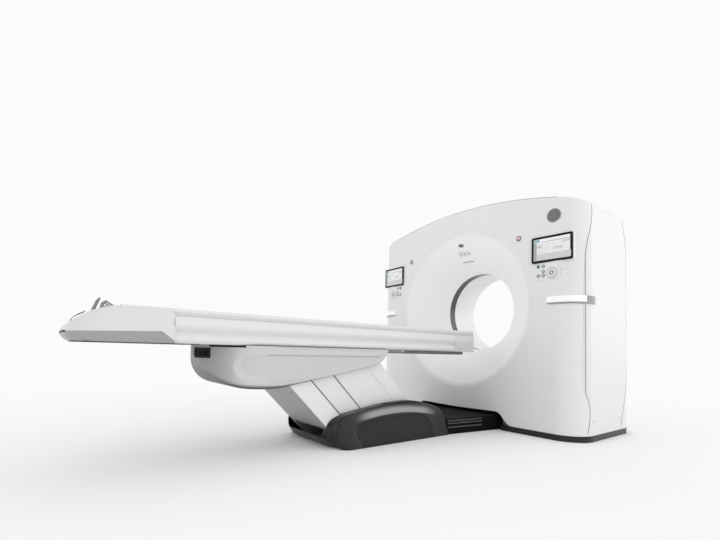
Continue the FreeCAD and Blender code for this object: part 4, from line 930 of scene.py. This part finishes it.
def on_bow(x, z):
    """The saddle's foot-end surface at (x, z), and its outward normal."""
    p, nrm, _, _ = bow.ray_cast(Vector((x, -3.2, z)), Vector((0, 1, 0)))
    if nrm.y > 0:
        nrm = -nrm
    return p, nrm


def bow_patch(name, xs, z0, z1, high, mats, body="saddle", zn=5):
    """A thin plate that lies on the bow between two heights."""
    bm = bmesh.new()
    top, low = [], []
    for z in steps(z0, z1, zn):
        a, b = [], []
        for x in xs:
            p, nrm = on_bow(x, z)
            a.append(bm.verts.new(p + nrm * high))
            b.append(bm.verts.new(p - nrm * 0.002))
        top.append(a)
        low.append(b)
    r, c = len(top), len(xs)
    for j in range(r - 1):
        for i in range(c - 1):
            bm.faces.new((top[j][i], top[j][i + 1], top[j + 1][i + 1], top[j + 1][i]))
            bm.faces.new((low[j][i], low[j + 1][i], low[j + 1][i + 1], low[j][i + 1]))
    rim = [(0, i) for i in range(c)] + [(j, c - 1) for j in range(1, r)] + [(r - 1, i) for i in range(c - 2, -1, -1)] + \
          [(j, 0) for j in range(r - 2, 0, -1)]
    for (ja, ia), (jb, ib) in zip(rim, rim[1:] + rim[:1]):
        bm.faces.new((top[ja][ia], low[ja][ia], low[jb][ib], top[jb][ib]))
    return finish_piece(name, bm, mats, body, smooth=40)


bow_patch("connector_rim", steps(0.034, 0.163, 14), 0.5735, 0.6375, 0.0012, [print_grey])
bow_patch("connector_plate", steps(0.038, 0.159, 14), 0.5765, 0.6350, 0.0024, [black_matte])
# painted shadow: black strips on the bow along the gap under the beam
for side, s in (("left", -1), ("right", 1)):
    bow_patch("bow_gap_shade_" + side, sorted(s * x for x in steps(0.150, 0.268, 24)), 0.6400, 0.6515, 0.0012, [black_matte], zn=2)
for k, x in enumerate((0.062, 0.098, 0.134)):
    bow_patch("connector_port_%d" % k, steps(x - 0.011, x + 0.011, 4), 0.592, 0.618, 0.0034, [dark_plastic], zn=3)


# ---------------------------------------------------------------- lips along the leg panels' seams
def leg_at(across, a):
    """Row-frame (y, z) of a point: across the leg from its foot-end axis, a along it."""
    h = math.sqrt(0.5)
    return -1.940 - a * h + across * h, 0.130 + a * h + across * h


def seam_lip(name, across, a0, a1, x0, x1, body, mat, width):
    bm = bmesh.new()
    for s in (1, -1):
        pts = []
        for (c, a) in ((across - 0.002, a0), (across + width, a0), (across + width, a1), (across - 0.002, a1)):
            y, z = leg_at(c, a)
            pts.append((y, z))
        lo = [bm.verts.new((s * x0, y, z)) for y, z in pts]
        hi = [bm.verts.new((s * x1, y, z)) for y, z in pts]
        for i in range(4):
            bm.faces.new((lo[i], lo[(i + 1) % 4], hi[(i + 1) % 4], hi[i]))
        bm.faces.new(lo)
        bm.faces.new(hi)
    bmesh.ops.recalc_face_normals(bm, faces=bm.faces[:])
    bmesh.ops.bevel(bm, geom=bm.edges[:], offset=0.0006, segments=2, profile=0.5, affect="EDGES", clamp_overlap=True)
    finish_piece(name, bm, [mat], body)


lip_dark = moulded("lip_dark_finish", (0.035, 0.036, 0.038), 0.6)
lip_pale = moulded("lip_pale_finish", (0.50, 0.505, 0.51), 0.5)
# the dark sole along the beam's and the nose's lower edge
bm = bmesh.new()
lofted(bm, [(round_rect(0, -3.075, 0.498, 0.560, 0.060, 8), 0.0), (round_rect(0, -3.075, 0.504, 0.566, 0.063, 8), 0.0012),
            (round_rect(0, -3.075, 0.504, 0.566, 0.063, 8), 0.0042)], lambda a, b, h: Vector((a, b, 0.6482 + h)))
finish_piece("beam_sole", bm, [sole_dark], "saddle")
seam_lip("lip_foot", 0.092, 0.010, 0.500, 0.2448, 0.2496, "leg_foot", lip_dark, 0.0070)
seam_lip("lip_mid_foot", 0.234, -0.085, 0.392, 0.2393, 0.2441, "leg_mid_foot", lip_dark, 0.0075)
seam_lip("lip_mid_head", 0.478, -0.335, 0.156, 0.2338, 0.2386, "leg_mid_head", lip_pale, 0.0045)


# ---------------------------------------------------------------- dark joints between the gantry's covers
def cover_joint(node, toward, name, body="root"):
    """A narrow dark strip laid along the edge that a side cover turns towards another cover."""
    bm = bmesh.new()
    bm.from_mesh(N[node].data)
    bmesh.ops.remove_doubles(bm, verts=bm.verts[:], dist=1e-5)
    pts = {}
    for e in bm.edges:
        if len(e.link_faces) != 2:
            continue
        f, g = e.link_faces
        for a, b in ((f, g), (g, f)):
            c = a.calc_center_median()
            out = Vector((a.normal.x, 0, a.normal.z)).dot(Vector((math.copysign(1, c.x), 0, 0.35))) > 0.3
            if out and b.normal.y * toward > 0.75 and abs(a.normal.y) < 0.7:
                for v in e.verts:
                    pts[(round(v.co.x, 4), round(v.co.z, 4))] = (v.co.copy(), a.normal.copy())
    bm.free()
    chain = [q for q in pts.values() if q[0].z > 0.05 and abs(q[0].x) > 1.10]
    chain.sort(key=lambda q: -q[0].z)
    keep = []
    for q in chain:
        if not keep or ((q[0] - keep[-1][0]).length > 0.012 and abs(q[0].y - keep[-1][0].y) < 0.30 * (keep[-1][0].z - q[0].z) + 0.010):
            keep.append(q)
    if len(keep) < 4:
        print("joint too short", name, len(keep))
        return
    bm = bmesh.new()
    rows = []
    for co, nrm in keep:
        nrm = Vector((nrm.x, 0, nrm.z)).normalized()
        mid = co + Vector((0, toward * 0.001, 0))
        rows.append([bm.verts.new(mid + Vector((0, dy, 0)) + nrm * h) for dy, h in
                     ((-0.0028, -0.001), (-0.0028, 0.0004), (-0.0016, 0.0008), (0.0016, 0.0008), (0.0028, 0.0004), (0.0028, -0.001))])
    for p, q in zip(rows, rows[1:]):
        for i in range(6):
            bm.faces.new((p[i], p[(i + 1) % 6], q[(i + 1) % 6], q[i]))
    bm.faces.new(rows[0])
    bm.faces.new(rows[-1])
    finish_piece(name, bm, [joint_grey], body)


joint_grey = moulded("joint_finish", (0.10, 0.102, 0.105), 0.6)
for side in ("left", "right"):
    cover_joint("side_cover_" + side, -1, "joint_front_" + side)
    cover_joint("side_cover_" + side, 1, "joint_rear_" + side)

# the joint along the top of the front cover
roof = [tree("front_cover"), tree("top_cover")]
bm = bmesh.new()
rows = []
for x in steps(-0.98, 0.98, 98):
    tops = [t.ray_cast(Vector((x, FRONT + 0.004, 2.5)), Vector((0, 0, -1)))[0] for t in roof]
    z = max([q.z for q in tops if q] or [0])
    if z > 1.2:
        y = front_y(x)
        rows.append([bm.verts.new((x, y + 0.001, z - 0.0042)), bm.verts.new((x, y - 0.0005, z - 0.0042)),
                     bm.verts.new((x, y - 0.0005, z - 0.0008)), bm.verts.new((x, y + 0.001, z - 0.0008))])
for p, q in zip(rows, rows[1:]):
    for i in range(4):
        bm.faces.new((p[i], p[(i + 1) % 4], q[(i + 1) % 4], q[i]))
bm.faces.new(rows[0])
bm.faces.new(rows[-1])
finish_piece("joint_top", bm, [moulded("joint_top_finish", (0.30, 0.303, 0.307), 0.5)], "root")

# ribs of the floor tray's side vents
bm = bmesh.new()


def on_tray(s):
    def place(y, z, h):
        x = 0.350 + 0.090 * (y + 0.955) / 0.635
        return Vector((s * (x + h * 0.99), y - h * 0.14, z))
    return place


for s in (1, -1):
    for z in (0.054, 0.084, 0.105):
        tile(bm, -0.740, z, 0.370, 0.0080, on_tray(s), 0.0036, r=0.0036, index=0, soft=0.0014)
    for y in (-0.930, -0.550):
        tile(bm, y, 0.077, 0.0060, 0.062, on_tray(s), 0.0042, r=0.0024, index=1, soft=0.0012)
finish_piece("tray_ribs", bm, [moulded("rib_finish", (0.085, 0.088, 0.092), 0.35), dark_plastic], "root")

# ---------------------------------------------------------------- stage, light, camera
floor_me = bpy.data.meshes.new("floor")
floor_me.from_pydata([(-60, -60, 0), (60, -60, 0), (60, 60, 0), (-60, 60, 0)], [], [(0, 1, 2, 3)])
floor_o = bpy.data.objects.new("floor", floor_me)
floor_o.location.z = -0.0006
scene.collection.objects.link(floor_o)
fm = Mat("floor_finish")
floor_me.materials.append(fm.surface(fm.mix(fm.noise(0.6), (0.918, 0.918, 0.918), (0.930, 0.930, 0.930)), 0.85, peel=0.02, grain=0.02))
fm.b.inputs["Specular IOR Level"].default_value = 0.0

world = bpy.data.worlds.new("studio")
scene.world = world
world.use_nodes = True
wt = world.node_tree
wt.nodes.clear()
wo = wt.nodes.new("ShaderNodeOutputWorld")
bg = wt.nodes.new("ShaderNodeBackground")
tc = wt.nodes.new("ShaderNodeTexCoord")
dot = wt.nodes.new("ShaderNodeVectorMath")
dot.operation = "DOT_PRODUCT"
dot.inputs[1].default_value = (0.10, 0.80, 0.59)
mr = wt.nodes.new("ShaderNodeMapRange")
mr.interpolation_type = "SMOOTHSTEP"
mr.inputs["From Min"].default_value = -0.75
mr.inputs["From Max"].default_value = 0.45
mr.inputs["To Min"].default_value = 0.77
mr.inputs["To Max"].default_value = 0.96
wt.links.new(tc.outputs["Generated"], dot.inputs[0])
wt.links.new(dot.outputs["Value"], mr.inputs["Value"])
wt.links.new(mr.outputs["Result"], bg.inputs["Strength"])
bg.inputs["Color"].default_value = (1, 1, 1, 1)
back = wt.nodes.new("ShaderNodeBackground")
back.inputs["Color"].default_value = (1, 1, 1, 1)
back.inputs["Strength"].default_value = 0.966
path = wt.nodes.new("ShaderNodeLightPath")
either = wt.nodes.new("ShaderNodeMixShader")
wt.links.new(path.outputs["Is Camera Ray"], either.inputs[0])
wt.links.new(bg.outputs[0], either.inputs[1])
wt.links.new(back.outputs[0], either.inputs[2])
wt.links.new(either.outputs[0], wo.inputs[0])

for name, toward, energy, wide in (("side_light", (0.80, -0.12, 0.30), 0.35, 60), ("rear_light", (0.55, 0.75, 0.12), 0.80, 60),
                                   ("front_fill", (-0.50, -0.85, 0.06), 0.60, 70)):
    sun = bpy.data.lights.new(name, "SUN")
    sun.energy = energy
    sun.angle = math.radians(wide)
    sun_o = bpy.data.objects.new(name, sun)
    sun_o.rotation_mode = "QUATERNION"
    sun_o.rotation_quaternion = Vector(toward).to_track_quat("Z", "Y")
    scene.collection.objects.link(sun_o)

AZIM, PITCH, ROLL, FOCAL = 0.9106, 0.0440, 0.0249, 407.67
fw = Vector((-math.sin(AZIM) * math.cos(PITCH), math.cos(AZIM) * math.cos(PITCH), math.sin(PITCH)))
rt = Vector((math.cos(AZIM), math.sin(AZIM), 0))
upv = rt.cross(fw)
rt2 = rt * math.cos(ROLL) + upv * math.sin(ROLL)
up2 = -rt * math.sin(ROLL) + upv * math.cos(ROLL)
cam = bpy.data.cameras.new("camera")
cam.sensor_width = 36
cam.sensor_fit = "HORIZONTAL"
cam.lens = FOCAL * 36 / 720
cam.shift_x = (360 - 360.24) / 720
cam.shift_y = (333.063 - 270) / 720
cam.clip_start, cam.clip_end = 0.05, 200
cam_o = bpy.data.objects.new("camera", cam)
rot = Matrix((rt2, up2, -fw)).transposed()
cam_o.matrix_world = Matrix.Translation(Vector((2.4724, -3.4625, 0.6369))) @ rot.to_4x4()
scene.collection.objects.link(cam_o)
scene.camera = cam_o
scene.view_settings.view_transform = "Standard"
